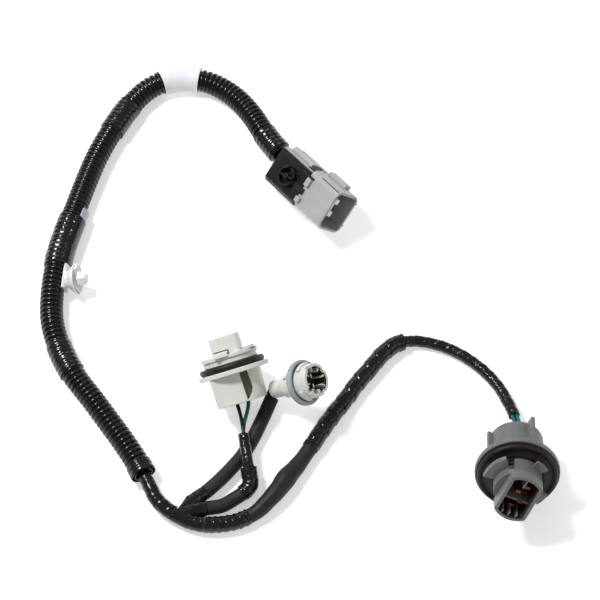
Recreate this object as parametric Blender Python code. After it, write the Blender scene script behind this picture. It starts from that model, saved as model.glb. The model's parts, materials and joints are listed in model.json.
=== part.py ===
"""Tail-lamp wiring harness, lying on a flat surface. Metres, +Z up.

A grey connector feeds five wires through a corrugated conduit to a taped splice. Three branches leave
the splice, for the backup, the turn and the tail bulb socket. The origin is on the surface, under the
middle of the whole harness.
"""

import math

import bmesh
import bpy
from mathutils import Matrix, Vector
from mathutils.geometry import interpolate_bezier

# Clearances and wires
FIT_GAP = 0.0003
WIRE_DIAMETER = 0.0019
TAPE_THICKNESS = 0.0003
WIRE_BEVEL_STEPS = 2
TUBE_SIDES = 10
CORNER_STEPS = 3
TURNED_SIDES = 24

# Corrugated conduit and what is wrapped round it
CONDUIT_CREST_RADIUS = 0.0059
CONDUIT_ROOT_DEPTH = 0.0010
CONDUIT_WALL = 0.0007
CONDUIT_PITCH = 0.0026
CONDUIT_SIDES = 8
BORE_STRIDE = 6
LABEL_LENGTH = 0.0205
LABEL_MIDDLE = 0.0758
END_TAPE = (0.0012, 0.0150)
UPPER_TAPE = (0.1075, 0.1260)
LOWER_TAPE = (0.2570, 0.2740)

# Sleeves and tapes of the branches
SLEEVE_SLACK = 0.0006
SLEEVE_WALL = 0.0009
TAIL_SLEEVE_SLACK = 0.0002
TAIL_SLEEVE_SWELLS = ((0.0, 0.0), (0.010, 0.0004), (0.020, 0.0009), (0.026, 0.0014), (0.034, 0.0007),
                      (0.041, 0.0002))
TAIL_TAPE_THICKNESS = 0.0016
SPLICE_TAPE_THICKNESS = 0.0005
SPLICE_ROOT_STEP = 0.0004
BEND_TAPE_THICKNESS = 0.0005

# Connector, in its own frame: Z out of the mouth, X across the latch side, Y out of the broad face
CONNECTOR_XY = (0.0214, 0.0357)
CONNECTOR_Z_AXIS = (0.5762, -0.7808, 0.2397)
CONNECTOR_X_AXIS = (0.5278, 0.5800, 0.6208)
SHROUD_WIDTH = 0.0218
SHROUD_HEIGHT = 0.0168
SHROUD_LENGTH = 0.0215
SHROUD_WALL = 0.0014
SHROUD_CORNER = 0.0035
SHROUD_FLOOR_WALL = 0.0030
REAR_WIDTH = 0.0180
REAR_HEIGHT = 0.0130
REAR_LENGTH = 0.0258
REAR_CORNER = 0.0015
SEAL_WALL = 0.0015
SEAL_DEPTH = 0.0045
CAVITY_PITCH = 0.0044
CAVITY_ROW = 0.0021
RAIL_RADIUS = 0.0019
RAIL_Y = 0.0008
RAIL_SETBACK = 0.0020
THIN_RAIL_Y = (-0.0058, -0.0038)
THIN_RAIL_REACH = 0.0016
SIDE_RIB_Y = (-0.0066, -0.0022)
SIDE_RIB_SETBACK = 0.0005
SIDE_RIB_LENGTH = 0.0140
SIDE_RIB_REACH = 0.0018
TOP_LUGS = ((0.0036, 0.0046), (-0.0066, 0.0030))
TOP_LUG_REACH = 0.0016
TOP_LUG_LENGTH = 0.0033
TOP_LUG_SETBACK = 0.0003
NUB_X = (-0.0060, 0.0070)
NUB_Z = -0.0008
NUB_RADIUS = 0.0006
NUB_REACH = 0.0010
PIN_DIAMETER = 0.0021
PIN_TAIL = 0.0185
PIN_TIP = 0.0060
PIN_BARREL_LENGTH = 0.0100
PIN_NECK_LENGTH = 0.0020
PIN_SHOULDER_LENGTH = 0.0010
PIN_POINT_LENGTH = 0.0008
BLADE_WIDTH = 0.0015
BLADE_THICKNESS = 0.0007
LOCK_THICKNESS = 0.0030
LOCK_POST_X = (-0.0014, 0.0056)
LOCK_POST_SETBACK = 0.0014
LOCK_POST_RADIUS = 0.0010
LOCK_POST_TIP = -0.0030
HOLDER_THICKNESS = 0.0018
HOLDER_SIDE_LENGTH = 0.0140
ANCHOR_SPOT = (-0.0005, 0.0085)
ANCHOR_RADIUS = 0.0044
ANCHOR_HEIGHT = 0.0046

# Push-in clip on the conduit's side
CLIP_TAPE = (0.1815, 0.2090)
STRAP_WIDTH = 0.0085
STRAP_THICKNESS = 0.0015
STRAP_TAB = 0.0055
STRAP_TAIL = 0.0140
STRAP_RISE = math.radians(16)
ROSETTE_MARK = 0.2195
ROSETTE_RADIUS = 0.0080
ROSETTE_DEPTH = 0.0048
ROSETTE_STEM_RADIUS = 0.0042
ROSETTE_LENGTH = 0.0103

# Turn socket, in its own frame: Z towards the bulb, Y away from the viewer
TURN_XY = (-0.0299, -0.0525)
TURN_Z_AXIS = (-0.290, 0.829, 0.4785)
TURN_X_AXIS = (0.957, 0.251, 0.145)
TURN_FLANGE_RADIUS = 0.0175
TURN_FLANGE_THICKNESS = 0.0023
TURN_BODY_RADIUS = 0.0129
TURN_REAR_RADIUS = 0.0123
TURN_BODY_LENGTH = 0.0145
TURN_RECESS_RADIUS = 0.0070
TURN_RECESS_DEPTH = 0.0035
TURN_NECK_RADIUS = 0.0120
TURN_NECK_LENGTH = 0.0058
TURN_DISC_RADIUS = 0.01415
TURN_DISC_THICKNESS = 0.0021
TURN_TOWER_WIDTH = 0.0151
TURN_TOWER_DEPTH = 0.0208
TURN_TOWER_LENGTH = 0.0087
TURN_MOUTH_RADIUS = 0.0062
TURN_MOUTH_DEPTH = 0.0150
TURN_SLOT_DEPTH = 0.0065
TURN_BLOCK_WIDTH = 0.0146
TURN_BLOCK_SHIFT = -0.0042
TURN_SCOOP_RADIUS = 0.0045
TURN_CONTACTS = ((-0.0025, 0.0), (0.0025, 0.0))
TURN_GASKET_RADIUS = 0.0162
TURN_GASKET_THICKNESS = 0.0029

# Backup socket, in its own frame: Z towards the bulb
BACKUP_CENTRE = (0.0041, -0.0629, 0.0256)
BACKUP_Z_AXIS = (0.710, -0.184, 0.679)
BACKUP_X_AXIS = (-0.246, 0.839, 0.4845)
BACKUP_STEM_RADIUS = 0.0044
BACKUP_STEM_LENGTH = 0.0077
BACKUP_BODY_RADIUS = 0.0057
BACKUP_BODY_LENGTH = 0.0096
BACKUP_FLANGE_RADIUS = 0.0098
BACKUP_FLANGE_THICKNESS = 0.0011
BACKUP_BARREL_RADIUS = 0.0083
BACKUP_BARREL_LENGTH = 0.0085
BACKUP_BORE_RADIUS = 0.0063
BACKUP_BORE_DEPTH = 0.0077
BACKUP_LUGS = ((20, 52), (140, 52), (262, 42))
BACKUP_LUG_REACH = 0.0011
BACKUP_LUG_RISE = 0.0012
BACKUP_LUG_THICKNESS = 0.0022
BACKUP_BOSS = (20, 62)
BACKUP_BOSS_REACH = 0.0014
BACKUP_BOSS_RISE = 0.0040
BACKUP_CONTACTS = ((-0.0024, 0.0), (0.0024, 0.0))
BACKUP_GASKET_RADIUS = 0.0109
BACKUP_GASKET_THICKNESS = 0.0029

# Tail socket, in its own frame: Z towards the bulb, Y up and towards the viewer
TAIL_XY = (0.1050, -0.1077)
TAIL_Z_AXIS = (-0.040, -0.920, 0.393)
TAIL_X_AXIS = (1.0, -0.025, 0.043)
TAIL_SKIRT_RADIUS = 0.0126
TAIL_SKIRT_LENGTH = 0.0203
TAIL_SKIRT_WALL = 0.0015
TAIL_SKIRT_DEPTH = 0.0095
TAIL_FIN_ANGLES = (65, 170, 245, 350)
TAIL_FIN_REACH = (0.0175, 0.0147, 0.0156, 0.0151)
TAIL_FIN_THICKNESS = 0.0017
TAIL_FLANGE_RADIUS = 0.0202
TAIL_FLANGE_THICKNESS = 0.0024
TAIL_GASKET_RADIUS = 0.0189
TAIL_GASKET_INNER_LIP = 0.0132
TAIL_GASKET_THICKNESS = 0.0028
TAIL_BARREL_RADIUS = 0.0116
TAIL_BARREL_LENGTH = 0.0142
TAIL_LUG_ANGLES = (39, -43, 130)
TAIL_LUG_SPANS = (33, 30, 66)
TAIL_LUG_REACH = (0.0158, 0.0155, 0.0166)
TAIL_LUG_THICKNESS = 0.0025
TAIL_LUG_TOP = 0.0095
TAIL_BLOCK_RADIUS = 0.0123
TAIL_BLOCK_LENGTH = 0.0085
TAIL_BLOCK_FLATS = 0.0161
TAIL_BLOCK_TURN = math.radians(64)
TAIL_CONTACTS = ((-0.0066, 0.0012), (-0.0030, -0.0018), (0.0022, 0.0018), (0.0062, -0.0012))
TAIL_POCKET_WIDTH = 0.0095
TAIL_POCKET_LENGTH = 0.0180
TAIL_POCKET_DEPTH = 0.0142
CONTACT_WIDTH = 0.0018
CONTACT_THICKNESS = 0.0008

# The wires lie at these heights where they rest: the radius of what covers them
WIRE_RADIUS = WIRE_DIAMETER / 2


def ring_of_wires(count):
    """Radius of the circle on which this many wires lie side by side, a gap apart."""
    return (WIRE_RADIUS + FIT_GAP / 2) / math.sin(math.pi / count)


def bundle_radius(count):
    return ring_of_wires(count) + WIRE_RADIUS


def clear_bore(radius):
    """Corner radius of a bore whose flat sides stay a third of a gap outside this radius."""
    return (radius + FIT_GAP / 3) / math.cos(math.pi / TUBE_SIDES)


CONDUIT_BORE = CONDUIT_CREST_RADIUS - CONDUIT_ROOT_DEPTH - CONDUIT_WALL
WRAP_BORE = CONDUIT_CREST_RADIUS + FIT_GAP
WRAP_RADIUS = WRAP_BORE + TAPE_THICKNESS
TRUNK_TAPE_BORE = clear_bore(bundle_radius(5))
TRUNK_TAPE_RADIUS = TRUNK_TAPE_BORE + TAPE_THICKNESS
SLEEVE_BORE = clear_bore(bundle_radius(2)) + SLEEVE_SLACK - FIT_GAP
SLEEVE_RADIUS = SLEEVE_BORE + SLEEVE_WALL
STEM_TAPE_BORE = clear_bore(bundle_radius(2))
STEM_TAPE_RADIUS = STEM_TAPE_BORE + TAPE_THICKNESS
TAIL_BORE = clear_bore(bundle_radius(3))
TAIL_SLEEVE_BORE = TAIL_BORE + TAIL_SLEEVE_SLACK
TAIL_SLEEVE_RADIUS = TAIL_SLEEVE_BORE + SLEEVE_WALL
TAIL_TAPE_RADIUS = TAIL_SLEEVE_BORE + TAIL_TAPE_THICKNESS
TAIL_LEAD_RADIUS = TAIL_BORE + TAPE_THICKNESS

# Routes, chosen by hand: x, y and the height of the bundle's middle above where it would rest
TRUNK_ROUTE = (
    (-0.0078, 0.0790, 0.0030), (-0.0122, 0.0850, 0.0028), (-0.0166, 0.0921, 0.0025),
    (-0.0232, 0.1042, 0.0017), (-0.0315, 0.1151, 0.0008), (-0.0406, 0.1225, 0.0002),
    (-0.0470, 0.1257, 0.0), (-0.0537, 0.1271, 0.0), (-0.0600, 0.1272, 0.0), (-0.0684, 0.1258, 0.0),
    (-0.0758, 0.1217, 0.0), (-0.0856, 0.1108, 0.0), (-0.0945, 0.0955, 0.0), (-0.1016, 0.0798, 0.0),
    (-0.1073, 0.0624, 0.0), (-0.1115, 0.0478, 0.0), (-0.1157, 0.0340, 0.0), (-0.1189, 0.0205, 0.0),
    (-0.1204, 0.0088, 0.0), (-0.1212, -0.0056, 0.0), (-0.1206, -0.0171, 0.0), (-0.1170, -0.0307, 0.0),
    (-0.1097, -0.0464, 0.0), (-0.0980, -0.0629, 0.0), (-0.0908, -0.0733, 0.0), (-0.0832, -0.0844, 0.0),
    (-0.0760, -0.0960, 0.0), (-0.0702, -0.1072, 0.0), (-0.0659, -0.1155, -0.0009),
    (-0.0618, -0.1194, -0.0017), (-0.0580, -0.1220, -0.0022),
)
BACKUP_ROUTE = (
    (-0.0530, -0.1186, 0.0010), (-0.0493, -0.1156, 0.0008), (-0.0441, -0.1116, 0.0004),
    (-0.0397, -0.1075, 0.0002), (-0.0322, -0.0993, 0.0), (-0.0257, -0.0910, 0.0), (-0.0210, -0.0826, 0.0),
    (-0.0172, -0.0741, 0.0004), (-0.0138, -0.0662, 0.0014),
)
TURN_ROUTE = (
    (-0.0530, -0.1213, 0.0010), (-0.0478, -0.1203, 0.0010), (-0.0430, -0.1193, 0.0006),
    (-0.0397, -0.1187, 0.0003), (-0.0356, -0.1178, 0.0), (-0.0291, -0.1139, 0.0), (-0.0246, -0.1108, 0.0006),
    (-0.0219, -0.1079, 0.0016), (-0.0221, -0.1016, 0.0040), (-0.0232, -0.0946, 0.0061),
    (-0.0242, -0.0887, 0.0071), (-0.0249, -0.0833, 0.0079),
)
TAIL_ROUTE = (
    (-0.0540, -0.1244, 0.0), (-0.0515, -0.1253, 0.0), (-0.0453, -0.1271, 0.0), (-0.0381, -0.1275, 0.0),
    (-0.0320, -0.1268, 0.0), (-0.0272, -0.1256, 0.0), (-0.0230, -0.1237, 0.0001), (-0.0178, -0.1205, 0.0006),
    (-0.0130, -0.1156, 0.0013), (-0.0080, -0.1093, 0.0016), (-0.0040, -0.1031, 0.0012),
    (0.0008, -0.0968, 0.0007), (0.0044, -0.0914, 0.0006), (0.0099, -0.0824, 0.0006),
    (0.0182, -0.0692, 0.0006), (0.0244, -0.0606, 0.0006), (0.0299, -0.0522, 0.0006),
    (0.0360, -0.0443, 0.0006), (0.0420, -0.0364, 0.0006), (0.0463, -0.0321, 0.0006),
    (0.0516, -0.0286, -0.0002), (0.0590, -0.0272, -0.0010), (0.0667, -0.0283, -0.0012),
    (0.0743, -0.0309, -0.0012), (0.0820, -0.0351, -0.0012), (0.0888, -0.0403, -0.0012),
    (0.0947, -0.0465, -0.0010), (0.0995, -0.0535, -0.0004), (0.1032, -0.0620, 0.0010),
    (0.1055, -0.0688, 0.0026), (0.1068, -0.0746, 0.0042),
)
FINE_STEP = CONDUIT_PITCH / 2
TRUNK_STEP = 0.0140
BRANCH_STEP = 0.0080
TURN_STEP = 0.0036
CURVE_DETAIL = 24

# Where each covering starts and ends, as lengths along its route
TRUNK_TAPE_LENGTH = 0.0250
TRUNK_TAPE_OVERLAP = 0.0060
SPLICE_START = 0.0030
SPLICE_END = {"backup": 0.0125, "turn": 0.0110, "tail": 0.0115}
TAIL_SPIRAL_END = 0.0330
TAIL_SLEEVE_END = 0.0800
TAIL_TAPE_END = 0.1560
TURN_BEND = (0.0300, 0.0440)


# Routes and their stations


def smooth_curve(points):
    """Closely spaced points on a smooth curve that passes through the route's own points."""
    route = [Vector(point) for point in points]
    gaps = [(b - a).length for a, b in zip(route, route[1:])]
    heading = [(route[1] - route[0]) / gaps[0]]
    for before, here, after, gap_in, gap_out in zip(route, route[1:], route[2:], gaps, gaps[1:]):
        weighted = (here - before) / gap_in * gap_out + (after - here) / gap_out * gap_in
        heading.append(weighted / (gap_in + gap_out))
    heading.append((route[-1] - route[-2]) / gaps[-1])
    curve = []
    for index, gap in enumerate(gaps):
        leave = route[index] + heading[index] * gap / 3
        arrive = route[index + 1] - heading[index + 1] * gap / 3
        curve += interpolate_bezier(route[index], leave, arrive, route[index + 1], CURVE_DETAIL)[:-1]
    return curve + [route[-1]]


def frame_at(place, heading):
    """Frame whose Z runs along the route, X points level to its side and Y points up from it."""
    along = heading.normalized()
    side = Vector((0, 0, 1)).cross(along).normalized()
    up = along.cross(side)
    return Matrix.Translation(place) @ Matrix((side, up, along)).transposed().to_4x4()


class Route:
    """A smooth run through hand-chosen points, kept as frames at even steps along it."""

    def __init__(self, points, rest_height, step):
        curve = smooth_curve([(x, y, rest_height + lift) for x, y, lift in points])
        reach = [0.0]
        for before, after in zip(curve, curve[1:]):
            reach.append(reach[-1] + (after - before).length)
        self.length = reach[-1]
        count = max(2, round(self.length / step))
        self.marks = [self.length * index / count for index in range(count + 1)]
        places = []
        span = 0
        for mark in self.marks:
            while span < len(reach) - 2 and reach[span + 1] < mark:
                span += 1
            part = (mark - reach[span]) / (reach[span + 1] - reach[span])
            places.append(curve[span].lerp(curve[span + 1], min(part, 1.0)))
        ahead = places[1:] + places[-1:]
        behind = places[:1] + places[:-1]
        self.frames = [frame_at(place, b - a) for place, a, b in zip(places, behind, ahead)]

    def frame(self, mark):
        """Frame at this length along the route, between its two stations."""
        step = self.marks[1]
        index = min(int(mark / step), len(self.marks) - 2)
        return self.frames[index].lerp(self.frames[index + 1], mark / step - index)

    def stretch(self, start, end, stride=1):
        """Frames at start, at each station between, and at end."""
        margin = self.marks[1] * 0.05
        inner = [frame for mark, frame in list(zip(self.marks, self.frames))[::stride]
                 if start + margin < mark < end - margin]
        return [self.frame(start)] + inner + [self.frame(end)]


# Mesh tools


def round_outline(radius, sides):
    return [(radius * math.cos(2 * math.pi * k / sides), radius * math.sin(2 * math.pi * k / sides))
            for k in range(sides)]


def rectangle_outline(width, height, corner=0.0, steps=1, x=0.0, y=0.0):
    """Corner points of a rectangle round (x, y), with each corner rounded in this many steps."""
    outline = []
    for quarter, (across, along) in enumerate(((1, 1), (-1, 1), (-1, -1), (1, -1))):
        for step in range(steps + 1 if corner else 1):
            angle = math.pi / 2 * (quarter + (step / steps if corner else 0.5))
            outline.append((x + across * (width / 2 - corner) + corner * math.cos(angle),
                            y + along * (height / 2 - corner) + corner * math.sin(angle)))
    return outline


def lay_out(corners, frame, outline):
    """Puts a ring's corners on this outline, in the frame's X and Y."""
    for corner, (x, y) in zip(corners, outline):
        corner.co = frame @ Vector((x, y, 0))


def ring_edges(shape, corners):
    return [shape.edges.get(pair) for pair in zip(corners, corners[1:] + corners[:1])]


def extrude_ring(shape, corners):
    """Extrudes a ring of edges in place, and gives the new corners in the old ones' order."""
    made = bmesh.ops.extrude_edge_only(shape, edges=ring_edges(shape, corners))["geom"]
    fresh = {item for item in made if isinstance(item, bmesh.types.BMVert)}
    return [next(edge.other_vert(old) for edge in old.link_edges if edge.other_vert(old) in fresh)
            for old in corners]


def skin(shape, rings, hollow=False):
    """Extrudes a ring through each (frame, outline), then caps both ends, or welds them if hollow."""
    frame, outline = rings[0]
    first = bmesh.ops.create_circle(shape, segments=len(outline), radius=1.0)["verts"]
    lay_out(first, frame, outline)
    corners = first
    for frame, outline in rings[1:] + rings[:1] * hollow:
        corners = extrude_ring(shape, corners)
        lay_out(corners, frame, outline)
    if hollow:
        bmesh.ops.remove_doubles(shape, verts=first + corners, dist=1e-7)
        return
    for loop in (first, corners):
        bmesh.ops.edgeloop_fill(shape, edges=ring_edges(shape, loop))


def spun(shape, outline, segments, frame=None):
    """Turns an outline of (radius, z) points round Z: closed, or open with both ends on the axis."""
    frame = frame or Matrix()
    on_axis = outline[0][0] == 0 and outline[-1][0] == 0
    corners = [shape.verts.new((radius, 0, z)) for radius, z in outline]
    sides = [shape.edges.new(pair) for pair in zip(corners, corners[1:])]
    if not on_axis:
        sides.append(shape.edges.new((corners[-1], corners[0])))
    first = len(shape.verts) - len(corners)
    bmesh.ops.spin(shape, geom=corners + sides, cent=(0, 0, 0), axis=(0, 0, 1), angle=2 * math.pi,
                   steps=segments, use_merge=True)
    made = list(shape.verts)[first:]
    bmesh.ops.remove_doubles(shape, verts=made, dist=1e-6)
    shape.verts.ensure_lookup_table()
    for vertex in list(shape.verts)[first:]:
        vertex.co = frame @ vertex.co


def block(shape, low, high):
    """A box between two corners."""
    low, high = Vector(low), Vector(high)
    place = Matrix.Translation((low + high) / 2) @ Matrix.Diagonal((high - low).to_4d())
    place[3][3] = 1.0
    bmesh.ops.create_cube(shape, size=1.0, matrix=place)


def rod(shape, radius, start, end, sides=16):
    """A cylinder between two points."""
    start, end = Vector(start), Vector(end)
    turn = (end - start).to_track_quat("Z", "Y").to_matrix().to_4x4()
    bmesh.ops.create_cone(shape, cap_ends=True, segments=sides, radius1=radius, radius2=radius,
                          depth=(end - start).length, matrix=Matrix.Translation((start + end) / 2) @ turn)


def piece(name, shape, material, placement=None):
    """Makes a named object of the shape, with its faces pointing out and round sides shaded smooth."""
    bmesh.ops.recalc_face_normals(shape, faces=shape.faces)
    mesh = bpy.data.meshes.new(name)
    shape.to_mesh(mesh)
    shape.free()
    mesh.shade_smooth()
    mesh.set_sharp_from_angle(angle=math.radians(35))
    made = bpy.data.objects.new(name, mesh)
    if placement:
        made.matrix_world = placement
    made.data.materials.append(material)
    bpy.context.scene.collection.objects.link(made)
    return made


def combine(target, shape, operation):
    """Adds the shape to the target, or cuts it out, by a Boolean with a hidden helper."""
    helper = piece(f"{target.name}_{operation.lower()}_shape", shape, target.data.materials[0],
                   target.matrix_world.copy())
    helper.hide_render = True
    helper.display_type = "WIRE"
    modifier = target.modifiers.new(f"{operation.title()} {len(target.modifiers) + 1}", "BOOLEAN")
    modifier.operation = operation
    modifier.object = helper


def wire(name, points, material):
    """One insulated wire through these points."""
    curve = bpy.data.curves.new(name, "CURVE")
    curve.dimensions = "3D"
    curve.bevel_depth = WIRE_RADIUS
    curve.bevel_resolution = WIRE_BEVEL_STEPS
    curve.use_fill_caps = True
    run = curve.splines.new("POLY")
    run.points.add(len(points) - 1)
    for spot, point in zip(run.points, points):
        spot.co = (*point, 1.0)
    curve.materials.append(material)
    bpy.context.scene.collection.objects.link(bpy.data.objects.new(name, curve))


def tube(name, frames, outline, bore, material):
    """A hollow tube along the frames. The outline gives the outside at each frame's number."""
    shape = bmesh.new()
    outside = [(frame, outline(index)) for index, frame in enumerate(frames)]
    inside = [(frame, bore) for frame in reversed(frames)]
    skin(shape, outside + inside, hollow=True)
    return piece(name, shape, material)


def round_tube(name, frames, radius, bore, material):
    outline = round_outline(radius, TUBE_SIDES)
    tube(name, frames, lambda index: outline, round_outline(bore, TUBE_SIDES), material)


def finish(name, colour, roughness, metallic=0.0):
    material = bpy.data.materials.new(name)
    material.use_nodes = True
    shader = material.node_tree.nodes["Principled BSDF"]
    shader.inputs["Base Color"].default_value = (*colour, 1.0)
    shader.inputs["Roughness"].default_value = roughness
    shader.inputs["Metallic"].default_value = metallic
    return material


# Placing the moulded pieces


def placed(centre, x_axis, z_axis):
    along = Vector(z_axis).normalized()
    across = (Vector(x_axis) - along * along.dot(Vector(x_axis))).normalized()
    turn = Matrix((across, along.cross(across), along)).transposed().to_4x4()
    return Matrix.Translation(centre) @ turn


def resting_on_rims(spot, x_axis, z_axis, rims):
    """Frame over this x and y, as low as the rims allow, each given as (radius, z) in the frame."""
    tilt = Vector(z_axis).normalized().z
    height = max(radius * math.sqrt(1 - tilt * tilt) - z * tilt for radius, z in rims)
    return placed((*spot, height), x_axis, z_axis)


def resting_on_corners(spot, x_axis, z_axis, corners):
    lying = placed((*spot, 0), x_axis, z_axis)
    height = -min((lying @ Vector(corner)).z for corner in corners)
    return placed((*spot, height), x_axis, z_axis)


def fan_out(frame, offset, target, direction, steps):
    """Points that lead one wire from its place in the bundle to a target it meets in this direction."""
    start = frame @ Vector((*offset, 0))
    heading = frame.to_3x3() @ Vector((0, 0, 1))
    reach = (target - start).length / 2.6
    return interpolate_bezier(start, start + heading * reach, target - direction * reach, target, steps)


def bundle_offsets(count, first_angle):
    radius = ring_of_wires(count)
    angles = [first_angle + 2 * math.pi * k / count for k in range(count)]
    return [(radius * math.cos(angle), radius * math.sin(angle)) for angle in angles]


# Connector

REAR_END = -(SHROUD_LENGTH + REAR_LENGTH)
SHROUD_FLOOR = SHROUD_LENGTH - SHROUD_FLOOR_WALL
PIN_REAR = SHROUD_FLOOR + PIN_TAIL
SHROUD_OUTLINE = (SHROUD_WIDTH, SHROUD_HEIGHT, SHROUD_CORNER)
REAR_OUTLINE = (REAR_WIDTH, REAR_HEIGHT, REAR_CORNER)
CONNECTOR = resting_on_corners(
    CONNECTOR_XY, CONNECTOR_X_AXIS, CONNECTOR_Z_AXIS,
    [(x, y, z)
     for z, section in ((0.0, SHROUD_OUTLINE), (-SHROUD_LENGTH, SHROUD_OUTLINE), (REAR_END, REAR_OUTLINE))
     for x, y in rectangle_outline(*section, CORNER_STEPS)])
CAVITIES = ((0.0, CAVITY_ROW), (CAVITY_PITCH, CAVITY_ROW), (CAVITY_PITCH / 2, -CAVITY_ROW),
            (-CAVITY_PITCH / 2, -CAVITY_ROW), (-CAVITY_PITCH, CAVITY_ROW))
CAVITY_RADIUS = PIN_DIAMETER / 2 + FIT_GAP


def cavity_rods(radius, start, end):
    shape = bmesh.new()
    for x, y in CAVITIES:
        rod(shape, radius, (x, y, start), (x, y, end), sides=10)
    return shape


def connector_housing(material):
    """Housing in one moulding: seal recess, rear body, shroud and mouth, with rails and lugs outside."""
    recess = (REAR_WIDTH - 2 * SEAL_WALL, REAR_HEIGHT - 2 * SEAL_WALL, REAR_CORNER)
    mouth = (SHROUD_WIDTH - 2 * SHROUD_WALL, SHROUD_HEIGHT - 2 * SHROUD_WALL, SHROUD_CORNER - SHROUD_WALL)
    sections = (
        (REAR_END + SEAL_DEPTH, recess), (REAR_END, recess), (REAR_END, REAR_OUTLINE),
        (-SHROUD_LENGTH, REAR_OUTLINE), (-SHROUD_LENGTH, SHROUD_OUTLINE), (0.0, SHROUD_OUTLINE), (0.0, mouth),
        (-SHROUD_FLOOR, mouth),
    )
    shape = bmesh.new()
    skin(shape, [(Matrix.Translation((0, 0, z)), rectangle_outline(*section, CORNER_STEPS))
                 for z, section in sections])
    housing = piece("connector_housing", shape, material, CONNECTOR)

    side = REAR_WIDTH / 2
    outer_side = SHROUD_WIDTH / 2
    outer_top = SHROUD_HEIGHT / 2
    rails = bmesh.new()
    middle = side - SEAL_WALL + RAIL_RADIUS + FIT_GAP
    start, end = REAR_END + RAIL_SETBACK, -SHROUD_LENGTH + 0.0004
    rod(rails, RAIL_RADIUS, (middle, RAIL_Y, start), (middle, RAIL_Y, end), 12)
    block(rails, (side - 0.001, THIN_RAIL_Y[0], start), (side + THIN_RAIL_REACH, THIN_RAIL_Y[1], end))
    rib_start = -SHROUD_LENGTH + SIDE_RIB_SETBACK
    block(rails, (outer_side - 0.001, SIDE_RIB_Y[0], rib_start),
          (outer_side + SIDE_RIB_REACH, SIDE_RIB_Y[1], rib_start + SIDE_RIB_LENGTH))
    for x, width in TOP_LUGS:
        lug_start = -SHROUD_LENGTH + TOP_LUG_SETBACK
        block(rails, (x - width / 2, outer_top - 0.001, lug_start),
              (x + width / 2, outer_top + TOP_LUG_REACH, lug_start + TOP_LUG_LENGTH))
    for x in NUB_X:
        rod(rails, NUB_RADIUS, (x, -outer_top + 0.0004, NUB_Z), (x, -outer_top - NUB_REACH, NUB_Z), 8)
    combine(housing, rails, "UNION")
    combine(housing, cavity_rods(CAVITY_RADIUS, REAR_END + SEAL_DEPTH - 0.001, -SHROUD_FLOOR + 0.001),
            "DIFFERENCE")


def connector_seal(material):
    width = REAR_WIDTH - 2 * SEAL_WALL - 2 * FIT_GAP
    height = REAR_HEIGHT - 2 * SEAL_WALL - 2 * FIT_GAP
    shape = bmesh.new()
    ends = (REAR_END + FIT_GAP, REAR_END + SEAL_DEPTH - FIT_GAP)
    outline = rectangle_outline(width, height, REAR_CORNER - FIT_GAP, CORNER_STEPS)
    skin(shape, [(Matrix.Translation((0, 0, z)), outline) for z in ends])
    seal = piece("connector_wire_seal", shape, material, CONNECTOR)
    combine(seal, cavity_rods(WIRE_RADIUS + FIT_GAP, ends[0] - 0.001, ends[1] + 0.001), "DIFFERENCE")


def connector_lock(material):
    """White plate on the mouth's floor, round the blades, with two posts that reach towards the mouth."""
    width = SHROUD_WIDTH - 2 * SHROUD_WALL - 2 * FIT_GAP
    height = SHROUD_HEIGHT - 2 * SHROUD_WALL - 2 * FIT_GAP
    back = -SHROUD_FLOOR + FIT_GAP
    shape = bmesh.new()
    outline = rectangle_outline(width, height, SHROUD_CORNER - SHROUD_WALL - FIT_GAP, CORNER_STEPS)
    skin(shape, [(Matrix.Translation((0, 0, z)), outline) for z in (back, back + LOCK_THICKNESS)])
    lock = piece("connector_terminal_lock", shape, material, CONNECTOR)
    posts = bmesh.new()
    y = height / 2 - LOCK_POST_SETBACK
    for x in LOCK_POST_X:
        rod(posts, LOCK_POST_RADIUS, (x, y, back + LOCK_THICKNESS / 2), (x, y, LOCK_POST_TIP), 12)
    combine(lock, posts, "UNION")
    combine(lock, cavity_rods(CAVITY_RADIUS, back - 0.001, back + LOCK_THICKNESS + 0.001), "DIFFERENCE")


def connector_pins(material):
    """Five blades, each with a round crimp barrel behind it."""
    barrel = round_outline(PIN_DIAMETER / 2, 8)
    neck = [(x * BLADE_WIDTH / PIN_DIAMETER, y * BLADE_THICKNESS / PIN_DIAMETER) for x, y in barrel]
    blade = [(max(-1, min(1, x * 1.6 / PIN_DIAMETER)) * BLADE_WIDTH / 2,
              max(-1, min(1, y * 3.0 / PIN_DIAMETER)) * BLADE_THICKNESS / 2) for x, y in barrel]
    tip = [(x * 0.5, y * 0.5) for x, y in blade]
    barrel_end = -PIN_REAR + PIN_BARREL_LENGTH
    neck_end = barrel_end + PIN_NECK_LENGTH
    sections = ((-PIN_REAR, barrel), (barrel_end, barrel), (neck_end, neck),
                (neck_end + PIN_SHOULDER_LENGTH, blade), (-PIN_TIP - PIN_POINT_LENGTH, blade), (-PIN_TIP, tip))
    for number, (x, y) in enumerate(CAVITIES, 1):
        shape = bmesh.new()
        skin(shape, [(Matrix.Translation((x, y, z)), outline) for z, outline in sections])
        piece(f"connector_pin_{number}", shape, material, CONNECTOR)


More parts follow.
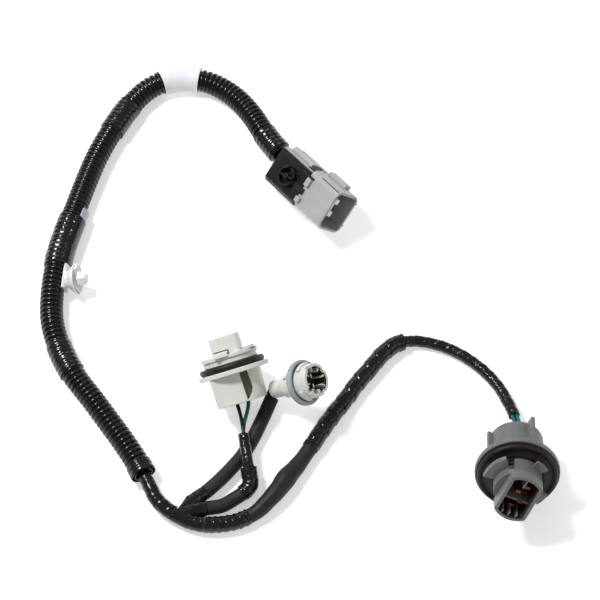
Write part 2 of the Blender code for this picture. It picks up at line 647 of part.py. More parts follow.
def connector_holder(material):
    """Black slide-on holder over the broad face, with its mushroom anchor."""
    under = REAR_HEIGHT / 2 + FIT_GAP
    top = under + HOLDER_THICKNESS
    left = -REAR_WIDTH / 2 - FIT_GAP
    front = -SHROUD_LENGTH - FIT_GAP
    back = REAR_END + 0.0006
    shape = bmesh.new()
    block(shape, (left - HOLDER_THICKNESS, under, back), (REAR_WIDTH / 2 + 0.0004, top, front))
    holder = piece("connector_clip_holder", shape, material, CONNECTOR)
    extras = bmesh.new()
    block(extras, (left - HOLDER_THICKNESS + 0.0001, -0.0010, back + 0.0001),
          (left, top - 0.0001, back + HOLDER_SIDE_LENGTH))
    combine(holder, extras, "UNION")
    anchor = bmesh.new()
    stem = ANCHOR_RADIUS * 0.45
    spot = Matrix.Translation((ANCHOR_SPOT[0], top, back + ANCHOR_SPOT[1]))
    outline = ((0, -0.001), (stem, -0.001), (stem, ANCHOR_HEIGHT * 0.55), (ANCHOR_RADIUS, ANCHOR_HEIGHT * 0.5),
               (ANCHOR_RADIUS * 0.8, ANCHOR_HEIGHT * 0.85), (0, ANCHOR_HEIGHT))
    spun(anchor, outline, 16, spot @ Matrix.Rotation(-math.pi / 2, 4, "X"))
    combine(holder, anchor, "UNION")


# Conduit, its wraps, label and clip


def corrugated_conduit(route, length, material):
    """Bellows tube: a crest and a root ring to each pitch outside, a smooth bore inside."""
    frames = route.stretch(0.0, length)
    crest = round_outline(CONDUIT_CREST_RADIUS, CONDUIT_SIDES)
    root = round_outline(CONDUIT_CREST_RADIUS - CONDUIT_ROOT_DEPTH, CONDUIT_SIDES)
    bore = round_outline(CONDUIT_BORE, CONDUIT_SIDES)
    outside = [(frame, (root, crest)[index % 2]) for index, frame in enumerate(frames)]
    inside_frames = frames[::BORE_STRIDE] + frames[-1:] * ((len(frames) - 1) % BORE_STRIDE > 0)
    shape = bmesh.new()
    skin(shape, outside + [(frame, bore) for frame in reversed(inside_frames)], hollow=True)
    piece("corrugated_conduit", shape, material)


def conduit_wrap(name, route, start, end, material):
    outline = round_outline(WRAP_RADIUS, CONDUIT_SIDES)
    tube(name, route.stretch(start, end, 4), lambda index: outline, round_outline(WRAP_BORE, CONDUIT_SIDES),
         material)


def strapped_outline(extra):
    """Outline of tape pulled over the conduit and the strap on its side, this far outside them."""
    spread = math.radians(29)
    round_part = (CONDUIT_CREST_RADIUS + FIT_GAP / 2) / math.cos(spread / 2) + extra
    face = WRAP_BORE + STRAP_THICKNESS + FIT_GAP + extra
    half = STRAP_WIDTH / 2 + FIT_GAP + extra
    corner_angle = math.atan2(half, face)
    touch_angle = corner_angle + math.acos(round_part / math.hypot(face, half))
    points = [(face, -half), (face, half)]
    turns = 7
    for index in range(turns + 1):
        angle = touch_angle + (2 * math.pi - 2 * touch_angle) * index / turns
        points.append((round_part * math.cos(angle), round_part * math.sin(angle)))
    turn = Matrix.Rotation(STRAP_RISE, 2)
    return [tuple(turn @ Vector(point)) for point in points]


def clip_tape(route, material):
    outside = strapped_outline(TAPE_THICKNESS)
    tube("clip_tape_wrap", route.stretch(*CLIP_TAPE, 4), lambda index: outside, strapped_outline(0.0),
         material)


def push_in_clip(route, material):
    """Nylon strap along the conduit's side, with a spring disc and a barbed stem at its lower end."""
    turn = Matrix.Rotation(STRAP_RISE, 4, "Z")
    start, end = CLIP_TAPE[0] - STRAP_TAB, CLIP_TAPE[1] + STRAP_TAIL
    middle = WRAP_BORE + STRAP_THICKNESS / 2
    strap = rectangle_outline(STRAP_THICKNESS, STRAP_WIDTH, 0.0004, 1, x=middle)
    shape = bmesh.new()
    skin(shape, [(frame @ turn, strap) for frame in route.stretch(start, end, 4)])
    clip = piece("push_in_clip", shape, material)
    rosette = bmesh.new()
    seat = route.frame(ROSETTE_MARK) @ turn @ Matrix.Translation((WRAP_BORE + STRAP_THICKNESS, 0, 0))
    outward = seat @ Matrix.Rotation(math.pi / 2, 4, "Y")
    neck = ROSETTE_STEM_RADIUS * 0.55
    outline = (
        (0, -STRAP_THICKNESS / 2), (ROSETTE_STEM_RADIUS, -STRAP_THICKNESS / 2), (ROSETTE_STEM_RADIUS, 0.0006),
        (ROSETTE_RADIUS, ROSETTE_DEPTH), (ROSETTE_RADIUS - 0.0004, ROSETTE_DEPTH + 0.0005), (neck, 0.0020),
        (neck, ROSETTE_DEPTH + 0.0005), (ROSETTE_STEM_RADIUS, ROSETTE_DEPTH + 0.0018),
        (ROSETTE_STEM_RADIUS * 0.8, ROSETTE_LENGTH - 0.0012), (ROSETTE_STEM_RADIUS * 0.5, ROSETTE_LENGTH),
        (0, ROSETTE_LENGTH),
    )
    spun(rosette, outline, 20, outward)
    combine(clip, rosette, "UNION")


# Splice and branches


def splice_pack(routes, trunk_end, material):
    """Taped lump where the branches leave: a short tape on each branch, grown into one at the bundle."""
    bundle = TRUNK_TAPE_RADIUS + SPLICE_TAPE_THICKNESS
    tapes = (("tail", bundle), ("turn", SLEEVE_RADIUS + SPLICE_TAPE_THICKNESS),
             ("backup", SLEEVE_RADIUS + SPLICE_TAPE_THICKNESS))
    pack = None
    for number, (name, radius) in enumerate(tapes):
        frames = routes[name].stretch(SPLICE_START, SPLICE_END[name] - FIT_GAP)
        start = trunk_end @ Matrix.Translation((0, 0, FIT_GAP + number * SPLICE_ROOT_STEP))
        root = round_outline(bundle - number * SPLICE_ROOT_STEP, TUBE_SIDES)
        outline = round_outline(radius, TUBE_SIDES)
        shape = bmesh.new()
        skin(shape, [(start, root)] + [(frame, outline) for frame in frames])
        if pack:
            combine(pack, shape, "UNION")
        else:
            pack = piece("splice_pack", shape, material)


def tail_sleeve_radius(run):
    """Outer radius of the tail sleeve at this length from its start: it swells where it was stretched."""
    for (before, low), (after, high) in zip(TAIL_SLEEVE_SWELLS, TAIL_SLEEVE_SWELLS[1:]):
        if run <= after:
            return TAIL_SLEEVE_RADIUS + low + (high - low) * (run - before) / (after - before)
    return TAIL_SLEEVE_RADIUS + TAIL_SLEEVE_SWELLS[-1][1]


def tail_sleeve(route, material):
    start, end = TAIL_SPIRAL_END + FIT_GAP, TAIL_SLEEVE_END - FIT_GAP
    frames = route.stretch(start, end)
    runs = [0.0]
    for before, after in zip(frames, frames[1:]):
        runs.append(runs[-1] + (after.translation - before.translation).length)
    tube("tail_sleeve", frames, lambda index: round_outline(tail_sleeve_radius(runs[index]), TUBE_SIDES),
         round_outline(TAIL_SLEEVE_BORE, TUBE_SIDES), material)


# Sockets


def sector(shape, inner, outer, low, high, middle, span, steps=5):
    """A block that spans an angle round Z, between two radii and two heights."""
    angles = [math.radians(middle - span / 2 + span * k / steps) for k in range(steps + 1)]
    outline = [(outer * math.cos(a), outer * math.sin(a)) for a in angles]
    outline += [(inner * math.cos(a), inner * math.sin(a)) for a in reversed(angles)]
    skin(shape, [(Matrix.Translation((0, 0, z)), outline) for z in (low, high)])


TURN_FLANGE_TOP = TURN_FLANGE_THICKNESS / 2
TURN_REAR = -TURN_FLANGE_TOP - TURN_BODY_LENGTH
TURN_NECK_TOP = TURN_FLANGE_TOP + TURN_NECK_LENGTH
TURN_DISC_TOP = TURN_NECK_TOP + TURN_DISC_THICKNESS
TURN_TOP = TURN_DISC_TOP + TURN_TOWER_LENGTH
TURN = resting_on_rims(TURN_XY, TURN_X_AXIS, TURN_Z_AXIS,
                       ((TURN_REAR_RADIUS, TURN_REAR), (TURN_FLANGE_RADIUS, -TURN_FLANGE_TOP)))
TURN_SEAT = TURN_REAR + TURN_RECESS_DEPTH
TURN_WIRE_SPREAD = 0.0030


def turn_socket(material):
    """Flange, body with a flat-faced block behind it, and a bayonet neck, disc and tower in front."""
    shape = bmesh.new()
    spun(shape, (
        (0, TURN_SEAT), (TURN_RECESS_RADIUS, TURN_SEAT), (TURN_RECESS_RADIUS, TURN_REAR),
        (TURN_REAR_RADIUS, TURN_REAR), (TURN_BODY_RADIUS, -TURN_FLANGE_TOP),
        (TURN_FLANGE_RADIUS, -TURN_FLANGE_TOP), (TURN_FLANGE_RADIUS, TURN_FLANGE_TOP),
        (TURN_NECK_RADIUS, TURN_FLANGE_TOP), (TURN_NECK_RADIUS, TURN_NECK_TOP), (0, TURN_NECK_TOP),
    ), TURNED_SIDES)
    socket = piece("turn_socket", shape, material, TURN)
    scoop = bmesh.new()
    scoop_middle = TURN_BLOCK_SHIFT + TURN_BLOCK_WIDTH / 2 + TURN_SCOOP_RADIUS
    rod(scoop, TURN_SCOOP_RADIUS, (scoop_middle, -TURN_BODY_RADIUS, TURN_REAR - 0.001),
        (scoop_middle, -TURN_BODY_RADIUS, -TURN_FLANGE_TOP - 0.0001))
    combine(socket, scoop, "DIFFERENCE")
    flat = bmesh.new()
    face = rectangle_outline(TURN_BLOCK_WIDTH, 0.0060, 0.0016, 2, x=TURN_BLOCK_SHIFT,
                             y=0.0032 - TURN_BODY_RADIUS)
    skin(flat, [(Matrix.Translation((0, 0, z)), face) for z in (TURN_REAR + 0.0002, 0.0)])
    combine(socket, flat, "UNION")
    disc = bmesh.new()
    spun(disc, ((0, TURN_NECK_TOP - 0.0004), (TURN_DISC_RADIUS, TURN_NECK_TOP),
                (TURN_DISC_RADIUS, TURN_DISC_TOP), (0, TURN_DISC_TOP)), TURNED_SIDES)
    combine(socket, disc, "UNION")
    tower = bmesh.new()
    base = rectangle_outline(TURN_TOWER_WIDTH, TURN_TOWER_DEPTH, 0.003, 3)
    top = rectangle_outline(TURN_TOWER_WIDTH - 0.0006, TURN_TOWER_DEPTH - 0.0006, 0.003, 3)
    skin(tower, [(Matrix.Translation((0, 0, z)), outline)
                 for z, outline in ((TURN_DISC_TOP - 0.0006, base), (TURN_TOP, top))])
    combine(socket, tower, "UNION")
    mouth = bmesh.new()
    rod(mouth, TURN_MOUTH_RADIUS, (0, 0, TURN_TOP - TURN_MOUTH_DEPTH), (0, 0, TURN_TOP + 0.002), 24)
    combine(socket, mouth, "DIFFERENCE")
    slot = bmesh.new()
    block(slot, (0.0040, -0.0021, TURN_TOP - TURN_SLOT_DEPTH),
          (TURN_TOWER_WIDTH / 2 + 0.002, 0.0021, TURN_TOP + 0.002))
    combine(socket, slot, "DIFFERENCE")


def gasket(name, bore, radius, low, thickness, inner_lip, placement, material):
    """Ring gasket round a neck, with a soft outer lip and an inner step."""
    top = low + thickness
    shape = bmesh.new()
    outline = ((bore, low), (radius - 0.0006, low), (radius, low + thickness * 0.3),
               (radius, low + thickness * 0.6), (radius - 0.0008, low + thickness * 0.85), (inner_lip, top),
               (bore, top))
    spun(shape, outline, TURNED_SIDES)
    piece(name, shape, material, placement)


def socket_contacts(name, spots, floor, height, placement, material):
    """Flat contact blades that stand just off the floor of a socket."""
    for number, (x, y) in enumerate(spots, 1):
        shape = bmesh.new()
        block(shape, (x - CONTACT_WIDTH / 2, y - CONTACT_THICKNESS / 2, floor + FIT_GAP),
              (x + CONTACT_WIDTH / 2, y + CONTACT_THICKNESS / 2, floor + FIT_GAP + height))
        piece(f"{name}_contact_{number}", shape, material, placement)


BACKUP_FLANGE_LOW = -BACKUP_GASKET_THICKNESS / 2 - FIT_GAP - BACKUP_FLANGE_THICKNESS
BACKUP_BODY_LOW = BACKUP_FLANGE_LOW - BACKUP_BODY_LENGTH
BACKUP_REAR = BACKUP_BODY_LOW - BACKUP_STEM_LENGTH
BACKUP = placed(BACKUP_CENTRE, BACKUP_X_AXIS, BACKUP_Z_AXIS)
BACKUP_WIRE_SPREAD = 0.0013


def backup_socket(material):
    shape = bmesh.new()
    bore_floor = BACKUP_BARREL_LENGTH - BACKUP_BORE_DEPTH
    spun(shape, (
        (0, BACKUP_REAR), (BACKUP_STEM_RADIUS - 0.0006, BACKUP_REAR),
        (BACKUP_STEM_RADIUS, BACKUP_REAR + 0.0006),
        (BACKUP_STEM_RADIUS, BACKUP_BODY_LOW), (BACKUP_BODY_RADIUS, BACKUP_BODY_LOW + 0.0016),
        (BACKUP_BODY_RADIUS, BACKUP_FLANGE_LOW), (BACKUP_FLANGE_RADIUS, BACKUP_FLANGE_LOW),
        (BACKUP_FLANGE_RADIUS, BACKUP_FLANGE_LOW + BACKUP_FLANGE_THICKNESS),
        (BACKUP_BARREL_RADIUS, BACKUP_FLANGE_LOW + BACKUP_FLANGE_THICKNESS),
        (BACKUP_BARREL_RADIUS, BACKUP_BARREL_LENGTH), (BACKUP_BORE_RADIUS, BACKUP_BARREL_LENGTH),
        (BACKUP_BORE_RADIUS, bore_floor), (0, bore_floor),
    ), TURNED_SIDES)
    socket = piece("backup_socket", shape, material, BACKUP)
    extras = bmesh.new()
    lug_low = BACKUP_GASKET_THICKNESS / 2 + BACKUP_LUG_RISE
    for middle, span in BACKUP_LUGS:
        sector(extras, BACKUP_BARREL_RADIUS - 0.0008, BACKUP_BARREL_RADIUS + BACKUP_LUG_REACH,
               lug_low, lug_low + BACKUP_LUG_THICKNESS, middle, span)
    combine(socket, extras, "UNION")
    boss = bmesh.new()
    sector(boss, BACKUP_BODY_RADIUS - 0.0020, BACKUP_BODY_RADIUS + BACKUP_BOSS_REACH,
           BACKUP_BODY_LOW + BACKUP_BOSS_RISE, BACKUP_FLANGE_LOW + 0.0004, *BACKUP_BOSS)
    combine(socket, boss, "UNION")


TAIL_FLANGE_TOP = 0.0010
TAIL_FLANGE_LOW = TAIL_FLANGE_TOP - TAIL_FLANGE_THICKNESS
TAIL_REAR = TAIL_FLANGE_LOW - TAIL_SKIRT_LENGTH
TAIL_BLOCK_LOW = TAIL_FLANGE_TOP + TAIL_BARREL_LENGTH - 0.0020
TAIL_TOP = TAIL_BLOCK_LOW + TAIL_BLOCK_LENGTH
TAIL = resting_on_rims(TAIL_XY, TAIL_X_AXIS, TAIL_Z_AXIS,
                       ((TAIL_SKIRT_RADIUS, TAIL_REAR), (TAIL_FLANGE_RADIUS, TAIL_FLANGE_LOW)))
TAIL_SEAT = TAIL_REAR + TAIL_SKIRT_DEPTH
TAIL_WIRE_SPREAD = 0.0040


def tail_socket(material):
    shape = bmesh.new()
    inner = TAIL_SKIRT_RADIUS - TAIL_SKIRT_WALL
    spun(shape, (
        (0, TAIL_SEAT), (inner, TAIL_SEAT), (inner, TAIL_REAR), (TAIL_SKIRT_RADIUS, TAIL_REAR),
        (TAIL_SKIRT_RADIUS, TAIL_FLANGE_LOW), (TAIL_FLANGE_RADIUS, TAIL_FLANGE_LOW),
        (TAIL_FLANGE_RADIUS, TAIL_FLANGE_TOP), (TAIL_BARREL_RADIUS, TAIL_FLANGE_TOP),
        (TAIL_BARREL_RADIUS, TAIL_BLOCK_LOW + 0.0006), (0, TAIL_BLOCK_LOW + 0.0006),
    ), TURNED_SIDES)
    socket = piece("tail_socket", shape, material, TAIL)
    extras = bmesh.new()
    for angle, reach in zip(TAIL_FIN_ANGLES, TAIL_FIN_REACH):
        before = len(extras.verts)
        block(extras, (TAIL_SKIRT_RADIUS - 0.0010, -TAIL_FIN_THICKNESS / 2, TAIL_REAR + 0.0030),
              (reach, TAIL_FIN_THICKNESS / 2, TAIL_FLANGE_LOW + 0.0004))
        bmesh.ops.rotate(extras, verts=list(extras.verts)[before:], cent=(0, 0, 0),
                         matrix=Matrix.Rotation(math.radians(angle), 3, "Z"))
    for angle, span, reach in zip(TAIL_LUG_ANGLES, TAIL_LUG_SPANS, TAIL_LUG_REACH):
        sector(extras, TAIL_BARREL_RADIUS - 0.0010, reach, TAIL_LUG_TOP - TAIL_LUG_THICKNESS, TAIL_LUG_TOP,
               angle, span, 6)
    combine(socket, extras, "UNION")
    head = bmesh.new()
    half = TAIL_BLOCK_FLATS / 2
    end = math.asin(half / TAIL_BLOCK_RADIUS)
    arc = [-end + 2 * end * k / 8 for k in range(9)]
    outline = [(TAIL_BLOCK_RADIUS * math.cos(a), TAIL_BLOCK_RADIUS * math.sin(a)) for a in arc]
    outline += [(-x, -y) for x, y in outline]
    turn = Matrix.Rotation(TAIL_BLOCK_TURN, 4, "Z")
    skin(head, [(turn @ Matrix.Translation((0, 0, z)), outline) for z in (TAIL_BLOCK_LOW, TAIL_TOP)])
    combine(socket, head, "UNION")
    pocket = bmesh.new()
    opening = rectangle_outline(TAIL_POCKET_LENGTH, TAIL_POCKET_WIDTH, 0.002, 3)
    skin(pocket, [(turn @ Matrix.Translation((0, 0, z)), opening)
                  for z in (TAIL_TOP - TAIL_POCKET_DEPTH, TAIL_TOP + 0.002)])
    combine(socket, pocket, "DIFFERENCE")


# The whole harness


def clear_scene():
    for old in list(bpy.data.objects):
        bpy.data.objects.remove(old, do_unlink=True)


def main():
    clear_scene()
    grey_nylon = finish("grey_nylon", (0.42, 0.42, 0.42), 0.45)
    white_nylon = finish("white_nylon", (0.82, 0.82, 0.78), 0.40)
    natural_nylon = finish("natural_nylon", (0.80, 0.80, 0.74), 0.35)
    black_nylon = finish("black_nylon", (0.012, 0.011, 0.010), 0.40)
    conduit_plastic = finish("conduit_plastic", (0.016, 0.016, 0.016), 0.35)
    label_film = finish("label_film", (0.78, 0.79, 0.80), 0.50)
    vinyl_tape = finish("vinyl_tape", (0.020, 0.017, 0.015), 0.25)
    sleeve_vinyl = finish("sleeve_vinyl", (0.026, 0.026, 0.027), 0.55)
    light_socket = finish("light_socket", (0.62, 0.62, 0.58), 0.40)
    mid_socket = finish("mid_socket", (0.16, 0.16, 0.155), 0.45)
    black_rubber = finish("black_rubber", (0.035, 0.028, 0.024), 0.60)
    blue_grey_rubber = finish("blue_grey_rubber", (0.25, 0.29, 0.31), 0.55)
    wire_black = finish("wire_black", (0.012, 0.012, 0.012), 0.40)
    wire_green = finish("wire_green", (0.020, 0.120, 0.075), 0.40)
    wire_teal = finish("wire_teal", (0.012, 0.110, 0.105), 0.40)
    tinned_brass = finish("tinned_brass", (0.60, 0.56, 0.48), 0.30, 1.0)
    copper = finish("copper", (0.55, 0.23, 0.10), 0.35, 1.0)

    trunk = Route(TRUNK_ROUTE, WRAP_RADIUS, TRUNK_STEP)
    trunk_fine = Route(TRUNK_ROUTE, WRAP_RADIUS, FINE_STEP)
    branches = {
        "backup": Route(BACKUP_ROUTE, SLEEVE_RADIUS, BRANCH_STEP),
        "turn": Route(TURN_ROUTE, SLEEVE_RADIUS, TURN_STEP),
        "tail": Route(TAIL_ROUTE, TAIL_SLEEVE_RADIUS, BRANCH_STEP),
    }

    connector_housing(grey_nylon)
    connector_seal(black_rubber)
    connector_lock(white_nylon)
    connector_pins(tinned_brass)
    connector_holder(black_nylon)

    conduit_length = trunk.length - TRUNK_TAPE_LENGTH
    corrugated_conduit(trunk_fine, conduit_length, conduit_plastic)
    conduit_wrap("connector_end_tape", trunk_fine, *END_TAPE, vinyl_tape)
    conduit_wrap("identification_label", trunk_fine, LABEL_MIDDLE - LABEL_LENGTH / 2,
                 LABEL_MIDDLE + LABEL_LENGTH / 2, label_film)
    conduit_wrap("upper_tape_wrap", trunk_fine, *UPPER_TAPE, vinyl_tape)
    conduit_wrap("lower_tape_wrap", trunk_fine, *LOWER_TAPE, vinyl_tape)
    clip_tape(trunk_fine, vinyl_tape)
    push_in_clip(trunk_fine, natural_nylon)

    conduit_wrap("conduit_end_tape", trunk_fine, conduit_length - TRUNK_TAPE_OVERLAP, conduit_length,
                 vinyl_tape)
    trunk_tape_frames = trunk.stretch(conduit_length + FIT_GAP, trunk.length)
    round_tube("trunk_tape", trunk_tape_frames, TRUNK_TAPE_RADIUS, TRUNK_TAPE_BORE, vinyl_tape)
    splice_pack(branches, trunk.frames[-1], vinyl_tape)

    backup, turn, tail = branches["backup"], branches["turn"], branches["tail"]
    round_tube("backup_sleeve", backup.stretch(SPLICE_END["backup"], backup.length), SLEEVE_RADIUS,
               SLEEVE_BORE, sleeve_vinyl)
    round_tube("turn_sleeve", turn.stretch(SPLICE_END["turn"], TURN_BEND[0] - FIT_GAP), SLEEVE_RADIUS,
               SLEEVE_BORE, sleeve_vinyl)
    round_tube("turn_bend_tape", turn.stretch(*TURN_BEND), SLEEVE_RADIUS + BEND_TAPE_THICKNESS,
               STEM_TAPE_BORE, vinyl_tape)
    round_tube("turn_stem_tape", turn.stretch(TURN_BEND[1] + FIT_GAP, turn.length), STEM_TAPE_RADIUS,
               STEM_TAPE_BORE, vinyl_tape)
    round_tube("tail_spiral_tape", tail.stretch(SPLICE_END["tail"], TAIL_SPIRAL_END), TAIL_SLEEVE_RADIUS,
               TAIL_BORE, vinyl_tape)
    tail_sleeve(tail, sleeve_vinyl)
    round_tube("tail_sleeve_tape", tail.stretch(TAIL_SLEEVE_END, TAIL_TAPE_END), TAIL_TAPE_RADIUS,
               TAIL_SLEEVE_BORE, vinyl_tape)
    round_tube("tail_lead_tape", tail.stretch(TAIL_TAPE_END + FIT_GAP, tail.length), TAIL_LEAD_RADIUS,
               TAIL_BORE, vinyl_tape)

    turn_socket(light_socket)
    gasket("turn_gasket", TURN_NECK_RADIUS + FIT_GAP, TURN_GASKET_RADIUS, TURN_FLANGE_TOP + FIT_GAP,
           TURN_GASKET_THICKNESS, TURN_NECK_RADIUS + 0.0012, TURN, black_rubber)
    socket_contacts("turn", TURN_CONTACTS, TURN_TOP - TURN_MOUTH_DEPTH, 0.0080, TURN, tinned_brass)
    backup_socket(light_socket)
    gasket("backup_gasket", BACKUP_BARREL_RADIUS + FIT_GAP, BACKUP_GASKET_RADIUS,
           -BACKUP_GASKET_THICKNESS / 2, BACKUP_GASKET_THICKNESS, BACKUP_BARREL_RADIUS + 0.0009, BACKUP,
           blue_grey_rubber)
    socket_contacts("backup", BACKUP_CONTACTS, BACKUP_BARREL_LENGTH - BACKUP_BORE_DEPTH, 0.0045, BACKUP,
                    tinned_brass)
    tail_socket(mid_socket)
    gasket("tail_gasket", TAIL_BARREL_RADIUS + FIT_GAP, TAIL_GASKET_RADIUS, TAIL_FLANGE_TOP + FIT_GAP,
           TAIL_GASKET_THICKNESS, TAIL_GASKET_INNER_LIP, TAIL, black_rubber)
    turned_tail = TAIL @ Matrix.Rotation(TAIL_BLOCK_TURN, 4, "Z")
    socket_contacts("tail", TAIL_CONTACTS, TAIL_TOP - TAIL_POCKET_DEPTH, 0.0110, turned_tail, copper)

    trunk_wires(trunk, wire_black)
    branch_wires("backup_wire", backup, 0.0, BACKUP, BACKUP_REAR, BACKUP_WIRE_SPREAD, (0.0, math.pi),
                 (wire_black, wire_black))
    branch_wires("turn_wire", turn, math.pi / 2, TURN, TURN_SEAT, TURN_WIRE_SPREAD, (math.pi, 0.0),
                 (wire_black, wire_green))
    third = 2 * math.pi / 3
    branch_wires("tail_wire", tail, math.pi / 2, TAIL, TAIL_SEAT, TAIL_WIRE_SPREAD,
                 [math.pi / 2 + third * k for k in range(3)], (wire_teal, wire_black, wire_teal))


def trunk_wires(route, material):
    """Five wires from the connector's pins through the conduit to the splice."""
    first = route.frames[0]
    broad_face = first.to_3x3().inverted() @ (CONNECTOR.to_3x3() @ Vector((0, 1, 0)))
    offsets = bundle_offsets(5, math.atan2(broad_face.y, broad_face.x))
    out_of_rear = CONNECTOR.to_3x3() @ Vector((0, 0, -1))
    last = route.frame(route.length - FIT_GAP)
    for number, (offset, (x, y)) in enumerate(zip(offsets, CAVITIES), 1):
        rear = CONNECTOR @ Vector((x, y, REAR_END - FIT_GAP))
        back = route.frames[0] @ Matrix.Rotation(math.pi, 4, "Y")
        lead = fan_out(back, (-offset[0], offset[1]), rear, -out_of_rear, 4)
        inside = CONNECTOR @ Vector((x, y, -PIN_REAR - FIT_GAP))
        run = [frame @ Vector((*offset, 0)) for frame in route.frames[1:-1] + [last]]
        wire(f"trunk_wire_{number}", [inside] + lead[::-1] + run, material)


def branch_wires(name, route, first_angle, socket, seat, spread, entries, materials):
    """The wires of one branch, from the splice along the route and into the back of a socket."""
    offsets = bundle_offsets(len(entries), first_angle)
    start = SPLICE_END[name.split("_")[0]]
    towards_bulb = socket.to_3x3() @ Vector((0, 0, 1))
    for number, (offset, entry, material) in enumerate(zip(offsets, entries, materials), 1):
        target = socket @ Vector((spread * math.cos(entry), spread * math.sin(entry), seat - FIT_GAP))
        run = [frame @ Vector((*offset, 0)) for frame in route.stretch(start, route.length)]
        lead = fan_out(route.frames[-1], offset, target, towards_bulb, 6)
        wire(f"{name}_{number}", run[:-1] + lead, material)


main()
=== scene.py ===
"""Looks of a tail-lamp wiring harness that lies on a pale floor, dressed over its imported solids."""

import json
import math

import bmesh
import bpy
from bpy.props import FloatProperty, FloatVectorProperty, IntProperty, PointerProperty
from mathutils import Matrix, Vector, noise
from mathutils.geometry import interpolate_bezier

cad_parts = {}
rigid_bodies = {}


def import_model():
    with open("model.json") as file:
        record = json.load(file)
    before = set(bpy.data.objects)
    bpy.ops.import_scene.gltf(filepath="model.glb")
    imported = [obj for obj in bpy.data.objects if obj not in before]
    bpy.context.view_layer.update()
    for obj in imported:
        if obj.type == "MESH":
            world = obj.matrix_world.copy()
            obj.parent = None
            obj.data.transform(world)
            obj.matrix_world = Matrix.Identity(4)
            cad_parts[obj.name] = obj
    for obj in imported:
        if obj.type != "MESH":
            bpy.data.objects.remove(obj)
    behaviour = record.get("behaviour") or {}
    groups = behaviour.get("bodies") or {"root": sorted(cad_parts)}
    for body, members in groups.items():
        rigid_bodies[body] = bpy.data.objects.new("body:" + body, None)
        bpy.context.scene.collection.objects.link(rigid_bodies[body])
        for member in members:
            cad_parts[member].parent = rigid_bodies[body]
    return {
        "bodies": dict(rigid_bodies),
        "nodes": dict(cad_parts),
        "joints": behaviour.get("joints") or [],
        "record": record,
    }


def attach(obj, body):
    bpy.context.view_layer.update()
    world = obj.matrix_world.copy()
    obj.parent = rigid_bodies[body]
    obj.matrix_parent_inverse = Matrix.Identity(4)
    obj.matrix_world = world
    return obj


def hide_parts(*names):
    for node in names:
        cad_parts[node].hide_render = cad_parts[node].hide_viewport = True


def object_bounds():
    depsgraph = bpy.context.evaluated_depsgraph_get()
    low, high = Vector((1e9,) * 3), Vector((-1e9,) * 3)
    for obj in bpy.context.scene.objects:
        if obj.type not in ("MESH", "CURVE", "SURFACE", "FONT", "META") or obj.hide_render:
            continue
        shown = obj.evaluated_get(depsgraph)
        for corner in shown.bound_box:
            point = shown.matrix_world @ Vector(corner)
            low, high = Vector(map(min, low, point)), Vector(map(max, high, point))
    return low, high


bl_info = {
    "name": "Tail-Lamp Wiring Harness",
    "version": (1, 0, 0),
    "blender": (4, 5, 0),
    "location": "View3D > Sidebar > Harness",
    "description": "Dresses the solids of a wiring harness with its conduit, tapes, sleeves and sockets",
    "category": "Object",
}

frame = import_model()
CAD_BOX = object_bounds()

# Placing of the camera over the harness
VIEW_TARGET = (0.0022, -0.0023, 0.0)
VIEW_DISTANCE = 1.3
VIEW_ELEVATION = math.radians(60)
VIEW_LENS = 156.0

# Light levels: a colour renders about as it is written
WORLD_LEVEL = 0.36
FLOOR_LIFT = 0.46
LAMPS = (
    ("key", (-0.50, 0.17, 0.97), 0.24, 0.24, 10.5),
    ("fill", (0.75, -0.30, 0.55), 0.50, 0.50, 0.8),
    ("rim", (-0.20, 0.85, 0.45), 0.60, 0.12, 1.0),
)

# Routes of the bundles: x, y and the height above where each would rest
TRUNK_ROUTE = (
    (-0.0078, 0.0790, 0.0030), (-0.0122, 0.0850, 0.0028), (-0.0166, 0.0921, 0.0025),
    (-0.0232, 0.1042, 0.0017), (-0.0315, 0.1151, 0.0008), (-0.0406, 0.1225, 0.0002),
    (-0.0470, 0.1257, 0.0), (-0.0537, 0.1271, 0.0), (-0.0600, 0.1272, 0.0), (-0.0684, 0.1258, 0.0),
    (-0.0758, 0.1217, 0.0), (-0.0856, 0.1108, 0.0), (-0.0945, 0.0955, 0.0), (-0.1016, 0.0798, 0.0),
    (-0.1073, 0.0624, 0.0), (-0.1115, 0.0478, 0.0), (-0.1157, 0.0340, 0.0), (-0.1189, 0.0205, 0.0),
    (-0.1204, 0.0088, 0.0), (-0.1212, -0.0056, 0.0), (-0.1206, -0.0171, 0.0), (-0.1170, -0.0307, 0.0),
    (-0.1097, -0.0464, 0.0), (-0.0980, -0.0629, 0.0), (-0.0908, -0.0733, 0.0), (-0.0832, -0.0844, 0.0),
    (-0.0760, -0.0960, 0.0), (-0.0702, -0.1072, 0.0), (-0.0659, -0.1155, -0.0009),
    (-0.0618, -0.1194, -0.0017), (-0.0580, -0.1220, -0.0022),
)
BACKUP_ROUTE = (
    (-0.0530, -0.1186, 0.0010), (-0.0493, -0.1156, 0.0008), (-0.0441, -0.1116, 0.0004),
    (-0.0397, -0.1075, 0.0002), (-0.0322, -0.0993, 0.0), (-0.0257, -0.0910, 0.0), (-0.0210, -0.0826, 0.0),
    (-0.0172, -0.0741, 0.0004), (-0.0138, -0.0662, 0.0014),
)
TURN_ROUTE = (
    (-0.0530, -0.1213, 0.0010), (-0.0478, -0.1203, 0.0010), (-0.0430, -0.1193, 0.0006),
    (-0.0397, -0.1187, 0.0003), (-0.0356, -0.1178, 0.0), (-0.0291, -0.1139, 0.0), (-0.0246, -0.1108, 0.0006),
    (-0.0219, -0.1079, 0.0016), (-0.0221, -0.1016, 0.0040), (-0.0232, -0.0946, 0.0061),
    (-0.0242, -0.0887, 0.0071), (-0.0249, -0.0833, 0.0079),
)
